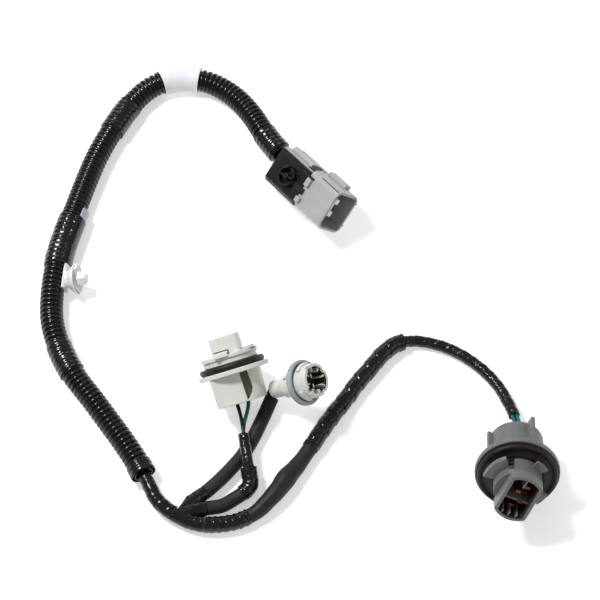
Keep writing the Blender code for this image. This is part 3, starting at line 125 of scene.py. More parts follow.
TAIL_ROUTE = (
    (-0.0540, -0.1244, 0.0), (-0.0515, -0.1253, 0.0), (-0.0453, -0.1271, 0.0), (-0.0381, -0.1275, 0.0),
    (-0.0320, -0.1268, 0.0), (-0.0272, -0.1256, 0.0), (-0.0230, -0.1237, 0.0001), (-0.0178, -0.1205, 0.0006),
    (-0.0130, -0.1156, 0.0013), (-0.0080, -0.1093, 0.0016), (-0.0040, -0.1031, 0.0012),
    (0.0008, -0.0968, 0.0007), (0.0044, -0.0914, 0.0006), (0.0099, -0.0824, 0.0006),
    (0.0182, -0.0692, 0.0006), (0.0244, -0.0606, 0.0006), (0.0299, -0.0522, 0.0006),
    (0.0360, -0.0443, 0.0006), (0.0420, -0.0364, 0.0006), (0.0463, -0.0321, 0.0006),
    (0.0516, -0.0286, -0.0002), (0.0590, -0.0272, -0.0010), (0.0667, -0.0283, -0.0012),
    (0.0743, -0.0309, -0.0012), (0.0820, -0.0351, -0.0012), (0.0888, -0.0403, -0.0012),
    (0.0947, -0.0465, -0.0010), (0.0995, -0.0535, -0.0004), (0.1032, -0.0620, 0.0010),
    (0.1055, -0.0688, 0.0026), (0.1068, -0.0746, 0.0042),
)

# Sizes that the solids fix
FIT_GAP = 0.0003
WIRE_RADIUS = 0.00095
WIRE_LANE = WIRE_RADIUS + FIT_GAP / 2
WRAP_RADIUS = 0.0065
BRANCH_TAPE = 0.0003
SLEEVE_WALL = 0.0009
SOLID_TUBE_SIDES = 10

# Lengths along each route at which a covering starts or ends
TRUNK_BARE_LENGTH = 0.0250
TRUNK_TAPE_OVERLAP = 0.0060
END_TAPE = (0.0012, 0.0150)
LABEL_MIDDLE = 0.0758
UPPER_TAPE = (0.1075, 0.1260)
CLIP_TAPE = (0.1825, 0.2115)
LOWER_TAPE = (0.2570, 0.2740)
SPLICE_START = 0.0030
SPLICE_END = {"backup": 0.0125, "turn": 0.0110, "tail": 0.0115}
TAIL_SPIRAL_END = 0.0330
TAIL_SLEEVE_END = 0.0800
TAIL_TAPE_END = 0.1560
TURN_BEND = (0.0300, 0.0440)
TAIL_SLEEVE_SWELLS = ((0.0, 0.0), (0.010, 0.0004), (0.020, 0.0009), (0.026, 0.0014), (0.034, 0.0007),
                      (0.041, 0.0002), (0.050, 0.0002))


def bundle_ring(count):
    """Radius of the circle on which this many wires lie side by side, a gap apart."""
    return WIRE_LANE / math.sin(math.pi / count)


def clear_bore(count):
    """Bore that leaves a third of a gap round this many wires."""
    return (bundle_ring(count) + WIRE_RADIUS + FIT_GAP / 3) / math.cos(math.pi / SOLID_TUBE_SIDES)


TRUNK_BORE = clear_bore(5)
PAIR_BORE = clear_bore(2)
SLEEVE_BORE = PAIR_BORE + FIT_GAP
SLEEVE_RADIUS = SLEEVE_BORE + SLEEVE_WALL
TAIL_BORE = clear_bore(3)
TAIL_SLEEVE_BORE = TAIL_BORE + 0.0002
TAIL_SLEEVE_RADIUS = TAIL_SLEEVE_BORE + SLEEVE_WALL
TAIL_TAPE_RADIUS = TAIL_SLEEVE_BORE + 0.0016


# Settings that a user would change


def length(name, description, default):
    return FloatProperty(name=name, description=description, default=default, min=0.0, unit="LENGTH", precision=5)


def colour(name, description, default):
    return FloatVectorProperty(name=name, description=description, default=default, min=0.0, max=1.0, size=3,
                               subtype="COLOR")


class HarnessSizes(bpy.types.PropertyGroup):
    """Sizes of the harness's own details"""

    conduit_crest: length("Conduit Crest", "Radius over the conduit's ridges", 0.0059)
    conduit_groove: length("Conduit Groove", "Depth of the grooves between the ridges", 0.0010)
    conduit_pitch: length("Conduit Pitch", "Distance from ridge to ridge", 0.0026)
    label_length: length("Label Length", "Length of the wrapped label along the conduit", 0.0205)
    wrinkle: length("Tape Wrinkle", "Height of the wrinkles in the wound tape", 0.00016)
    spiral_pitch: length("Spiral Pitch", "Distance between the turns of the wound tape", 0.0034)
    edge_round: length("Edge Round", "Radius on the moulded edges", 0.00028)
    tube_sides: IntProperty(name="Tube Sides", description="Faces round each sleeve and tape", default=40, min=12)


class HarnessColours(bpy.types.PropertyGroup):
    """Colours of the harness's finishes"""

    conduit: colour("Conduit", "Corrugated plastic", (0.006, 0.006, 0.0055))
    tape: colour("Tape", "Wound vinyl tape", (0.007, 0.0062, 0.0055))
    sleeve: colour("Sleeve", "Soft vinyl sleeve", (0.020, 0.020, 0.021))
    label: colour("Label", "Wrapped label film", (0.74, 0.74, 0.77))
    clip: colour("Clip", "Natural nylon clip", (0.80, 0.81, 0.80))
    tab: colour("Clip Tab", "Blue-grey nylon at the strap's end", (0.40, 0.42, 0.50))
    connector: colour("Connector", "Grey moulded nylon", (0.36, 0.36, 0.368))
    # Painted shade: dark grey painted into the connector's side slot, corner groove and triangular pocket, where shade
    # falls.
    recess: colour("Connector Recess", "Dark grey of the connector's recess", (0.070, 0.066, 0.055))
    holder: colour("Holder", "Black moulded nylon", (0.010, 0.0085, 0.007))
    lock: colour("Lock", "White moulded nylon", (0.80, 0.80, 0.75))
    socket: colour("Light Sockets", "Off-white moulded plastic", (0.66, 0.665, 0.62))
    # Painted shade: a darker olive grey painted into the turn socket's scoop, side slot, lug groove and hole, where
    # shade falls on the same off-white plastic.
    slot: colour("Socket Slot", "Olive grey of the turn socket's slots", (0.30, 0.295, 0.24))
    # Painted shade: dark brown painted inside the sockets' bores and mouths, standing in for the shade deep in them.
    bore: colour("Socket Bore", "Dark brown inside the sockets", (0.040, 0.028, 0.018))
    tail_socket: colour("Tail Socket", "Mid-grey moulded plastic", (0.142, 0.147, 0.146))
    gasket: colour("Gaskets", "Near-black rubber", (0.018, 0.014, 0.012))
    blue_gasket: colour("Backup Gasket", "Blue-grey rubber", (0.31, 0.34, 0.37))
    wire_black: colour("Black Wires", "Black insulation", (0.008, 0.007, 0.007))
    wire_green: colour("Green Wire", "Green insulation", (0.006, 0.130, 0.080))
    wire_teal: colour("Teal Wires", "Teal insulation", (0.004, 0.135, 0.125))
    copper: colour("Copper", "Bare contact metal", (0.62, 0.23, 0.07))
    tin: colour("Tinned Metal", "Tinned brass", (0.62, 0.58, 0.50))
    floor: colour("Floor", "Pale floor", (0.90, 0.90, 0.90))


# Runs along the routes


def smooth_curve(points):
    """Closely spaced points on a smooth curve that passes through the route's own points."""
    route = [Vector(point) for point in points]
    gaps = [(b - a).length for a, b in zip(route, route[1:])]
    heading = [(route[1] - route[0]) / gaps[0]]
    for before, here, after, gap_in, gap_out in zip(route, route[1:], route[2:], gaps, gaps[1:]):
        weighted = (here - before) / gap_in * gap_out + (after - here) / gap_out * gap_in
        heading.append(weighted / (gap_in + gap_out))
    heading.append((route[-1] - route[-2]) / gaps[-1])
    curve = []
    for index, gap in enumerate(gaps):
        leave = route[index] + heading[index] * gap / 3
        arrive = route[index + 1] - heading[index + 1] * gap / 3
        curve += interpolate_bezier(route[index], leave, arrive, route[index + 1], 24)[:-1]
    return curve + [route[-1]]


class Run:
    """A smooth run through a route's points, read as frames at any length along it."""

    def __init__(self, points, rest_height):
        self.curve = smooth_curve([(x, y, rest_height + lift) for x, y, lift in points])
        self.reach = [0.0]
        for before, after in zip(self.curve, self.curve[1:]):
            self.reach.append(self.reach[-1] + (after - before).length)
        self.length = self.reach[-1]

    def spot(self, mark):
        mark = min(max(mark, 0.0), self.length)
        low, high = 0, len(self.reach) - 1
        while high - low > 1:
            middle = (low + high) // 2
            if self.reach[middle] <= mark:
                low = middle
            else:
                high = middle
        part = (mark - self.reach[low]) / (self.reach[high] - self.reach[low])
        return self.curve[low].lerp(self.curve[high], part)

    def frame(self, mark):
        """Frame whose Z runs along the route, X points level to its side and Y points up from it."""
        along = (self.spot(mark + 0.0012) - self.spot(mark - 0.0012)).normalized()
        side = Vector((0, 0, 1)).cross(along).normalized()
        turn = Matrix((side, along.cross(side), along)).transposed().to_4x4()
        return Matrix.Translation(self.spot(mark)) @ turn


def marks_between(start, end, step):
    count = max(1, round((end - start) / step))
    return [start + (end - start) * index / count for index in range(count + 1)]


TRUNK = Run(TRUNK_ROUTE, WRAP_RADIUS)
BACKUP_RUN = Run(BACKUP_ROUTE, SLEEVE_RADIUS)
TURN_RUN = Run(TURN_ROUTE, SLEEVE_RADIUS)
TAIL_RUN = Run(TAIL_ROUTE, TAIL_SLEEVE_RADIUS)
CONDUIT_LENGTH = TRUNK.length - TRUNK_BARE_LENGTH
BACKUP_SLEEVE_RUN = Run(BACKUP_ROUTE + ((-0.0126, -0.0634, 0.0020), (-0.0114, -0.0607, 0.0026)), SLEEVE_RADIUS)
LEAD_END = TAIL_RUN.length - 0.0036


# Mesh tools


def solid(name, shape, *materials):
    """Makes an object of the shape, with its faces pointing out and its round sides shaded smooth."""
    bmesh.ops.recalc_face_normals(shape, faces=shape.faces)
    mesh = bpy.data.meshes.new(name)
    shape.to_mesh(mesh)
    shape.free()
    for material in materials:
        mesh.materials.append(material)
    mesh.shade_smooth()
    mesh.set_sharp_from_angle(angle=math.radians(38))
    made = bpy.data.objects.new(name, mesh)
    bpy.context.scene.collection.objects.link(made)
    return made


def combine(target, shape, operation, slot=0):
    """Adds the shape to the target, or cuts it out, and keeps the result as the target's mesh."""
    for face in shape.faces:
        face.material_index = slot
    helper = solid("helper", shape, *target.data.materials)
    modifier = target.modifiers.new("Combine", "BOOLEAN")
    modifier.operation = operation
    modifier.object = helper
    bpy.context.view_layer.update()
    graph = bpy.context.evaluated_depsgraph_get()
    result = bpy.data.meshes.new_from_object(target.evaluated_get(graph))
    target.modifiers.clear()
    old = target.data
    target.data = result
    result.name = target.name
    bpy.data.meshes.remove(old)
    bpy.data.meshes.remove(helper.data)


def even_shading(piece):
    """Keeps flat faces flat in the shading, and each real edge crisp."""
    piece.data.set_sharp_from_angle(angle=math.radians(38))
    even = piece.modifiers.new("Even Shading", "WEIGHTED_NORMAL")
    even.keep_sharp = True


def seat(piece, slot, *nodes, place=None):
    """Puts a finished piece in its place, on the root body, in place of these solids."""
    if place:
        piece.data.transform(place)
        even_shading(piece)
    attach(piece, "root")
    if nodes:
        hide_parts(*nodes)
    return piece


def ring_edges(shape, corners):
    return [shape.edges.get(pair) for pair in zip(corners, corners[1:] + corners[:1])]


def skin(shape, rings):
    """Extrudes a ring of edges through each (frame, outline), then caps both ends."""
    frame, outline = rings[0]
    first = bmesh.ops.create_circle(shape, segments=len(outline), radius=1.0)["verts"]
    corners = first
    for index, (frame, outline) in enumerate(rings):
        if index:
            made = bmesh.ops.extrude_edge_only(shape, edges=ring_edges(shape, corners))["geom"]
            fresh = {item for item in made if isinstance(item, bmesh.types.BMVert)}
            corners = [next(edge.other_vert(old) for edge in old.link_edges if edge.other_vert(old) in fresh)
                       for old in corners]
        for corner, (x, y) in zip(corners, outline):
            corner.co = frame @ Vector((x, y, 0))
    for loop in (first, corners):
        bmesh.ops.edgeloop_fill(shape, edges=ring_edges(shape, loop))


def prism(outline, low, high, place=None):
    shape = bmesh.new()
    place = place or Matrix()
    skin(shape, [(place @ Matrix.Translation((0, 0, z)), outline) for z in (low, high)])
    return shape


def rectangle(width, height, corner=0.0, steps=6, x=0.0, y=0.0):
    """Corner points of a rectangle round (x, y), with each corner rounded in this many steps."""
    outline = []
    for quarter, (across, along) in enumerate(((1, 1), (-1, 1), (-1, -1), (1, -1))):
        for step in range(steps + 1 if corner else 1):
            angle = math.pi / 2 * (quarter + (step / steps if corner else 0.5))
            outline.append((x + across * (width / 2 - corner) + corner * math.cos(angle),
                            y + along * (height / 2 - corner) + corner * math.sin(angle)))
    return outline


def filleted(outline, radius, steps=3):
    """The outline with its corners rounded off, apart from those on the axis and the nearly straight ones."""
    made = []
    for index, spot in enumerate(outline):
        here = Vector(spot)
        before = Vector(outline[index - 1]) - here
        after = Vector(outline[(index + 1) % len(outline)]) - here
        if here.x == 0 or before.length < 1e-7 or after.length < 1e-7 or before.angle(after) > 2.9:
            made.append(tuple(here))
            continue
        reach = min(radius, before.length * 0.45, after.length * 0.45)
        enter, leave = here + before.normalized() * reach, here + after.normalized() * reach
        for step in range(steps + 1):
            part = step / steps
            made.append(tuple(enter.lerp(here, part).lerp(here.lerp(leave, part), part)))
    return made


def sector_outline(inner, outer, middle, span, steps=12):
    angles = [math.radians(middle - span / 2 + span * k / steps) for k in range(steps + 1)]
    outline = [(outer * math.cos(a), outer * math.sin(a)) for a in angles]
    return outline + [(inner * math.cos(a), inner * math.sin(a)) for a in reversed(angles)]


def spun(outline, segments=96, place=None, shape=None):
    """Turns an outline of (radius, z) points round Z: closed, or open with both ends on the axis."""
    part = bmesh.new()
    corners = [part.verts.new((radius, 0, z)) for radius, z in outline]
    sides = [part.edges.new(pair) for pair in zip(corners, corners[1:])]
    if outline[0][0] or outline[-1][0]:
        sides.append(part.edges.new((corners[-1], corners[0])))
    bmesh.ops.spin(part, geom=corners + sides, cent=(0, 0, 0), axis=(0, 0, 1), angle=2 * math.pi,
                   steps=segments, use_merge=True)
    bmesh.ops.remove_doubles(part, verts=part.verts, dist=1e-6)
    if place:
        bmesh.ops.transform(part, matrix=place, verts=part.verts)
    return part


def block(low, high, place=None):
    """A box between two corners."""
    shape = bmesh.new()
    low, high = Vector(low), Vector(high)
    fit = Matrix.Translation((low + high) / 2) @ Matrix.Diagonal((*(high - low), 1.0))
    bmesh.ops.create_cube(shape, size=1.0, matrix=(place or Matrix()) @ fit)
    return shape


def rod(radius, start, end, sides=32, tip=None):
    """A cylinder or cone between two points."""
    shape = bmesh.new()
    start, end = Vector(start), Vector(end)
    turn = (end - start).to_track_quat("Z", "Y").to_matrix().to_4x4()
    bmesh.ops.create_cone(shape, cap_ends=True, segments=sides, radius1=radius,
                          radius2=radius if tip is None else tip, depth=(end - start).length,
                          matrix=Matrix.Translation((start + end) / 2) @ turn)
    return shape


def turned(angle):
    return Matrix.Rotation(math.radians(angle), 4, "Z")


def merged(*shapes):
    """One shape that holds all of these."""
    whole = bmesh.new()
    for shape in shapes:
        mesh = bpy.data.meshes.new("part")
        shape.to_mesh(mesh)
        shape.free()
        whole.from_mesh(mesh)
        bpy.data.meshes.remove(mesh)
    return whole


def grid_tube(name, rings, *materials):
    """A closed skin over rings of (frame, outline, along), with a UV map in millimetres along and around."""
    sides = len(rings[0][1])
    count = len(rings)
    shape = bmesh.new()
    layer = shape.loops.layers.uv.new("run")
    bmesh.ops.create_grid(shape, x_segments=count, y_segments=sides, size=0.5)
    girth = 2 * math.pi * max(math.hypot(*point) for point in rings[0][1])
    flat = {}
    for vertex in shape.verts:
        row = round((vertex.co.x + 0.5) * count)
        column = round((vertex.co.y + 0.5) * sides)
        frame, outline, along = rings[row % count]
        flat[vertex] = (1000 * along, 1000 * girth * column / sides)
        vertex.co = frame @ Vector((*outline[column % sides], 0))
    for face in shape.faces:
        for loop in face.loops:
            loop[layer].uv = flat[loop.vert]
    bmesh.ops.remove_doubles(shape, verts=shape.verts, dist=1e-7)
    return solid(name, shape, *materials)


def round_ring(frame, along, radius, sides, relief=None):
    outline = []
    for k in range(sides):
        angle = 2 * math.pi * k / sides
        reach = radius + (relief(along, angle) if relief else 0.0)
        outline.append((reach * math.cos(angle), reach * math.sin(angle)))
    return frame, outline, along


def covering(name, run, start, end, radius, bore, material, step=0.0005, relief=None, lip=0.00015):
    """A hollow covering on a run. radius is a number, or gives one at each length along the run."""
    sides = bpy.context.scene.harness_sizes.tube_sides
    reach = radius if callable(radius) else lambda mark: radius
    marks = marks_between(start, end, step)
    rings = [round_ring(run.frame(start), start, reach(start) - lip, sides, relief)]
    rings += [round_ring(run.frame(m), m, reach(m), sides, relief)
              for m in [start + lip] + marks[1:-1] + [end - lip]]
    rings.append(round_ring(run.frame(end), end, reach(end) - lip, sides, relief))
    for mark in reversed(marks_between(start, end, 0.004)):
        rings.append(round_ring(run.frame(mark), mark, bore, sides))
    return grid_tube(name, rings, material)


def crumple(height, grain, seed):
    """Relief of creased film: small noise that differs along and around."""
    def relief(along, angle):
        spot = Vector((along / grain, 1.7 * math.cos(angle), 1.7 * math.sin(angle) + seed))
        return height * noise.noise(spot * 1.9)
    return relief


def wound(pitch, step_height, wrinkle, seed):
    """Relief of tape wound in a spiral: each turn laps the last, and it wrinkles a little."""
    creases = crumple(wrinkle, 0.0022, seed)
    def relief(along, angle):
        lap = along / pitch + angle / (2 * math.pi) + 0.12 * noise.noise(Vector((along * 300, angle, seed)))
        part = lap - math.floor(lap)
        ramp = 1 - part if part > 0.10 else part / 0.10
        return step_height * (ramp - 0.5) + creases(along, angle)
    return relief


def film_relief(height, seed):
    """Relief of thin film that is drawn tight over the conduit, so its ridges show through."""
    creases = crumple(height, 0.0030, seed)
    pitch = bpy.context.scene.harness_sizes.conduit_pitch

    def relief(along, angle):
        dip = (0.5 + 0.5 * math.cos(2 * math.pi * along / pitch)) ** 2
        return creases(along, angle) - 0.00022 * dip
    return relief


# Materials


def add(tree, kind, settings=None, **sockets):
    """Adds a node. A socket gets a value, or is linked where it is given another node's output."""
    made = tree.nodes.new(f"ShaderNode{kind}")
    for name, value in (settings or {}).items():
        setattr(made, name, value)
    for name, value in sockets.items():
        socket = made.inputs[name.replace("_", " ")]
        if isinstance(value, bpy.types.NodeSocket):
            tree.links.new(value, socket)
        else:
            socket.default_value = value
    return made


def tinted(tree, factor, low, high):
    """Colour between two tints, by a factor that runs around one half."""
    ramp = add(tree, "ValToRGB", Fac=factor)
    stops = ramp.color_ramp.elements
    stops[0].position, stops[1].position = 0.32, 0.68
    stops[0].color = (*low, 1.0)
    stops[1].color = (*high, 1.0)
    return ramp.outputs["Color"]


def finish(name, tint, rough, mottle=0.10, patch=110.0, grain=1500.0, relief=0.00003, metallic=0.0, coat=0.0,
           edge_paling=0.0, specular=0.5):
    """Material whose tint, gloss and surface vary in small patches, and which is paler on its sharp convex edges."""
    material = bpy.data.materials.new(name)
    material.use_nodes = True
    tree = material.node_tree
    shader = tree.nodes["Principled BSDF"]
    shader.inputs["Metallic"].default_value = metallic
    shader.inputs["Specular IOR Level"].default_value = specular
    shader.inputs["Coat Weight"].default_value = coat
    shader.inputs["Coat Roughness"].default_value = 0.08
    place = add(tree, "TexCoord").outputs["Object"]
    patches = add(tree, "TexNoise", Vector=place, Scale=patch, Detail=5.0, Roughness=0.6)
    grains = add(tree, "TexNoise", Vector=place, Scale=grain, Detail=3.0, Roughness=0.55)
    colour = tinted(tree, patches.outputs["Fac"], [c * (1 - mottle) for c in tint],
                    [min(1.0, c * (1 + mottle)) for c in tint])
    # Paler colour on sharp convex edges, found from their pointiness.
    if edge_paling:
        edge = add(tree, "NewGeometry").outputs["Pointiness"]
        paled_edges = add(tree, "MapRange", Value=edge, From_Min=0.51, From_Max=0.60, To_Min=0.0, To_Max=edge_paling)
        paler = [min(1.0, 0.06 + c * 1.3) for c in tint]
        mix = add(tree, "MixRGB", Fac=paled_edges.outputs["Result"], Color1=colour, Color2=(*paler, 1.0))
        colour = mix.outputs["Color"]
    tree.links.new(colour, shader.inputs["Base Color"])
    gloss = add(tree, "MapRange", Value=patches.outputs["Fac"], From_Min=0.3, From_Max=0.7,
                To_Min=rough[0], To_Max=rough[1])
    tree.links.new(gloss.outputs["Result"], shader.inputs["Roughness"])
    bump = add(tree, "Bump", Height=grains.outputs["Fac"], Strength=1.0, Distance=relief)
    tree.links.new(bump.outputs["Normal"], shader.inputs["Normal"])
    return material


PAINTS = {}


def paints():
    """The harness's finishes by name, made once."""
    if PAINTS:
        return PAINTS
    c = bpy.context.scene.harness_colours
    rows = (
        ("conduit_plastic", c.conduit, (0.12, 0.24), 0.25, 160, 2600, 0.00002, {"specular": 0.34}),
        ("film_tape", c.tape, (0.06, 0.20), 0.35, 220, 1300, 0.00006, {"specular": 0.42}),
        ("glossy_tape", c.tape, (0.10, 0.26), 0.30, 180, 1500, 0.00005, {"specular": 0.36}),
        ("sleeve_vinyl", c.sleeve, (0.42, 0.58), 0.18, 120, 1900, 0.00005, {"specular": 0.22}),
        ("label_film", c.label, (0.30, 0.42), 0.03, 70, 900, 0.00002, {"coat": 0.15}),
        ("natural_nylon", c.clip, (0.26, 0.40), 0.05, 130, 1500, 0.00003, {"edge_paling": 0.1}),
        ("tab_nylon", c.tab, (0.26, 0.40), 0.05, 130, 1500, 0.00003, {}),
        ("grey_nylon", c.connector, (0.34, 0.50), 0.06, 120, 2200, 0.00004, {"edge_paling": 0.25}),
        ("grey_recess", c.recess, (0.44, 0.60), 0.10, 120, 2200, 0.00004, {"specular": 0.2}),
        ("black_nylon", c.holder, (0.20, 0.36), 0.20, 150, 1900, 0.00004, {"specular": 0.30, "edge_paling": 0.2}),
        ("white_nylon", c.lock, (0.30, 0.42), 0.05, 120, 1700, 0.00003, {}),
        ("light_socket", c.socket, (0.32, 0.48), 0.06, 120, 2200, 0.00004, {"edge_paling": 0.2}),
        ("socket_slot", c.slot, (0.44, 0.60), 0.14, 120, 2200, 0.00004, {"specular": 0.2}),
        ("socket_bore", c.bore, (0.40, 0.60), 0.30, 260, 1800, 0.00004, {"specular": 0.2}),
        ("mid_socket", c.tail_socket, (0.34, 0.50), 0.09, 120, 2200, 0.00004, {"specular": 0.4, "edge_paling": 0.3}),
        ("black_rubber", c.gasket, (0.36, 0.52), 0.20, 150, 1700, 0.00005, {"specular": 0.22}),
        ("blue_grey_rubber", c.blue_gasket, (0.40, 0.56), 0.10, 150, 1700, 0.00005, {"specular": 0.3}),
        ("wire_black", c.wire_black, (0.24, 0.38), 0.25, 200, 1500, 0.00003, {"specular": 0.3}),
        ("wire_green", c.wire_green, (0.24, 0.38), 0.15, 200, 1500, 0.00003, {"specular": 0.4}),
        ("wire_teal", c.wire_teal, (0.24, 0.38), 0.15, 200, 1500, 0.00003, {"specular": 0.4}),
        ("tinned_brass", c.tin, (0.20, 0.38), 0.12, 300, 2500, 0.00003, {"metallic": 1.0}),
        ("copper", c.copper, (0.22, 0.40), 0.18, 300, 2500, 0.00003, {"metallic": 1.0}),
    )
    for name, *values, extras in rows:
        PAINTS[name] = finish(f"harness_{name}", *values, **extras)
    return PAINTS


def repaint(node, material):
    """Gives a kept solid a better finish."""
    for entry in frame["nodes"][node].material_slots:
        entry.material = material


# Stage


def area_light(name, place, width, height, watts):
    data = bpy.data.lights.new(name, "AREA")
    data.shape = "RECTANGLE"
    data.size = width
    data.size_y = height
    data.energy = watts
    lamp = bpy.data.objects.new(name, data)
    lamp.location = place
    lamp.rotation_euler = (Vector(VIEW_TARGET) - Vector(place)).to_track_quat("-Z", "Y").to_euler()
    bpy.context.scene.collection.objects.link(lamp)


class HARNESS_OT_stage(bpy.types.Operator):
    """Sets the camera, the pale floor, the lamps and the view"""
    bl_idname = "harness.stage"
    bl_label = "Stage"

    def execute(self, context):
        scene = context.scene
        scene.view_settings.view_transform = "Standard"
        camera = bpy.data.objects.new("camera", bpy.data.cameras.new("camera"))
        camera.data.lens = VIEW_LENS
        camera.data.sensor_width = 36.0
        camera.data.clip_start = 0.01
        away = Vector((0, -math.cos(VIEW_ELEVATION), math.sin(VIEW_ELEVATION)))
        camera.location = Vector(VIEW_TARGET) + away * VIEW_DISTANCE
        camera.rotation_euler = (-away).to_track_quat("-Z", "Y").to_euler()
        scene.collection.objects.link(camera)
        scene.camera = camera

        shape = bmesh.new()
        bmesh.ops.create_grid(shape, x_segments=8, y_segments=8, size=3.0,
                              matrix=Matrix.Translation((0, 0, min(0.0, CAD_BOX[0][2]) - 0.00005)))
        paint = bpy.data.materials.new("floor")
        paint.use_nodes = True
        tree = paint.node_tree
        tree.nodes.clear()
        place = add(tree, "TexCoord").outputs["Object"]
        grain = add(tree, "TexNoise", Vector=place, Scale=30.0, Detail=3.0).outputs["Fac"]
        pale = scene.harness_colours.floor
        colour = tinted(tree, grain, [c * 0.99 for c in pale], [min(1.0, c * 1.01) for c in pale])
        matt = add(tree, "BsdfDiffuse", Color=colour).outputs["BSDF"]
        path = add(tree, "LightPath").outputs
        first = add(tree, "Math", {"operation": "MAXIMUM"})
        second = add(tree, "Math", {"operation": "MAXIMUM"})
        tree.links.new(path["Is Camera Ray"], first.inputs[0])
        tree.links.new(path["Is Glossy Ray"], first.inputs[1])
        tree.links.new(first.outputs[0], second.inputs[0])
        tree.links.new(path["Is Transmission Ray"], second.inputs[1])
        lift = add(tree, "Math", {"operation": "MULTIPLY"})
        tree.links.new(second.outputs[0], lift.inputs[0])
        lift.inputs[1].default_value = FLOOR_LIFT
        glow = add(tree, "Emission", Strength=lift.outputs[0]).outputs["Emission"]
        both = add(tree, "AddShader")
        tree.links.new(matt, both.inputs[0])
        tree.links.new(glow, both.inputs[1])
        output = add(tree, "OutputMaterial")
        tree.links.new(both.outputs[0], output.inputs["Surface"])
        solid("floor", shape, paint)

        world = bpy.data.worlds.new("studio")
        world.use_nodes = True
        sky = world.node_tree.nodes["Background"]
        sky.inputs["Color"].default_value = (1.0, 1.0, 1.0, 1.0)
        sky.inputs["Strength"].default_value = WORLD_LEVEL
        scene.world = world
        for name, place, width, height, watts in LAMPS:
            area_light(name, place, width, height, watts)
        return {"FINISHED"}


# Conduit, its wraps, label and clip

CONDUIT_PROFILE = ((0.0, 1.0), (0.13, 0.88), (0.23, 0.22), (0.36, 0.02), (0.50, 0.0), (0.64, 0.02), (0.77, 0.22),
                   (0.87, 0.88))


def conduit():
    """Bellows tube with narrow grooves between rounded ridges, and a smooth bore."""
    sizes = bpy.context.scene.harness_sizes
    pitch, crest, depth = sizes.conduit_pitch, sizes.conduit_crest, sizes.conduit_groove
    sides = 32
    rings = []
    for number in range(int(CONDUIT_LENGTH / pitch)):
        for part, dip in CONDUIT_PROFILE:
            mark = (number + part) * pitch
            rings.append(round_ring(TRUNK.frame(mark), mark, crest - depth * dip, sides))
    rings.append(round_ring(TRUNK.frame(CONDUIT_LENGTH), CONDUIT_LENGTH, crest - depth, sides))
    for mark in reversed(marks_between(0.0, CONDUIT_LENGTH, 0.006)):
        rings.append(round_ring(TRUNK.frame(mark), mark, crest - depth - 0.0007, sides))
    return grid_tube("harness_conduit", rings, paints()["conduit_plastic"])


def strap_share(angle):
    """How far the strap lifts the tape at an angle from the strap's middle: 1 over it and 0 well beside it."""
    turn = abs((angle + math.pi) % (2 * math.pi) - math.pi)
    part = min(1.0, max(0.0, (STRAP_SPREAD + 0.42 - turn) / 0.42))
    return part * part * (3 - 2 * part)


STRAP_SPREAD = 0.46
STRAP_THICKNESS = 0.0013
STRAP_TAB = 0.0055
STRAP_TAIL = 0.0140
STRAP_RISE = math.radians(16)
ROSETTE_MARK = 0.2195
ROSETTE_RADIUS = 0.0080
ROSETTE_DEPTH = 0.0048
ROSETTE_STEM_RADIUS = 0.0042
ROSETTE_LENGTH = 0.0103


def clip_tape():
    """Tape drawn over the conduit, whose ridges show through it, and smoothly over the strap."""
    creases = crumple(0.00020, 0.0026, 3.0)
    sizes = bpy.context.scene.harness_sizes
    base = sizes.conduit_crest + FIT_GAP
    sides = 72
    start, end = CLIP_TAPE
    rings = []
    for mark in marks_between(start, end, 0.00045):
        edge = min(1.0, (mark - start) / 0.0003 + 0.2, (end - mark) / 0.0003 + 0.2)
        dip = (0.5 + 0.5 * math.cos(2 * math.pi * mark / sizes.conduit_pitch)) ** 2
        outline = []
        for k in range(sides):
            angle = 2 * math.pi * k / sides
            share = strap_share(angle)
            reach = base + 0.00005 + 0.00025 * edge + (STRAP_THICKNESS + 0.0001) * share
            reach += creases(mark, angle) * edge * (1 - 0.6 * share) - 0.00032 * dip * (1 - share)
            outline.append((reach * math.cos(angle + STRAP_RISE), reach * math.sin(angle + STRAP_RISE)))
        rings.append((TRUNK.frame(mark), outline, mark))
    for mark in reversed(marks_between(start, end, 0.002)):
        outline = []
        for k in range(sides):
            angle = 2 * math.pi * k / sides
            reach = base - 0.0001 + (STRAP_THICKNESS + 0.0001) * strap_share(angle)
            outline.append((reach * math.cos(angle + STRAP_RISE), reach * math.sin(angle + STRAP_RISE)))
        rings.append((TRUNK.frame(mark), outline, mark))
    return grid_tube("harness_clip_tape", rings, paints()["film_tape"])


def strap_section(low, high):
    """Cross-section of the strap, bent round the conduit."""
    angles = [STRAP_SPREAD * (k / 6 - 1) for k in range(13)]
    outline = [(high * math.cos(a), high * math.sin(a)) for a in angles]
    return outline + [(low * math.cos(a), low * math.sin(a)) for a in reversed(angles)]


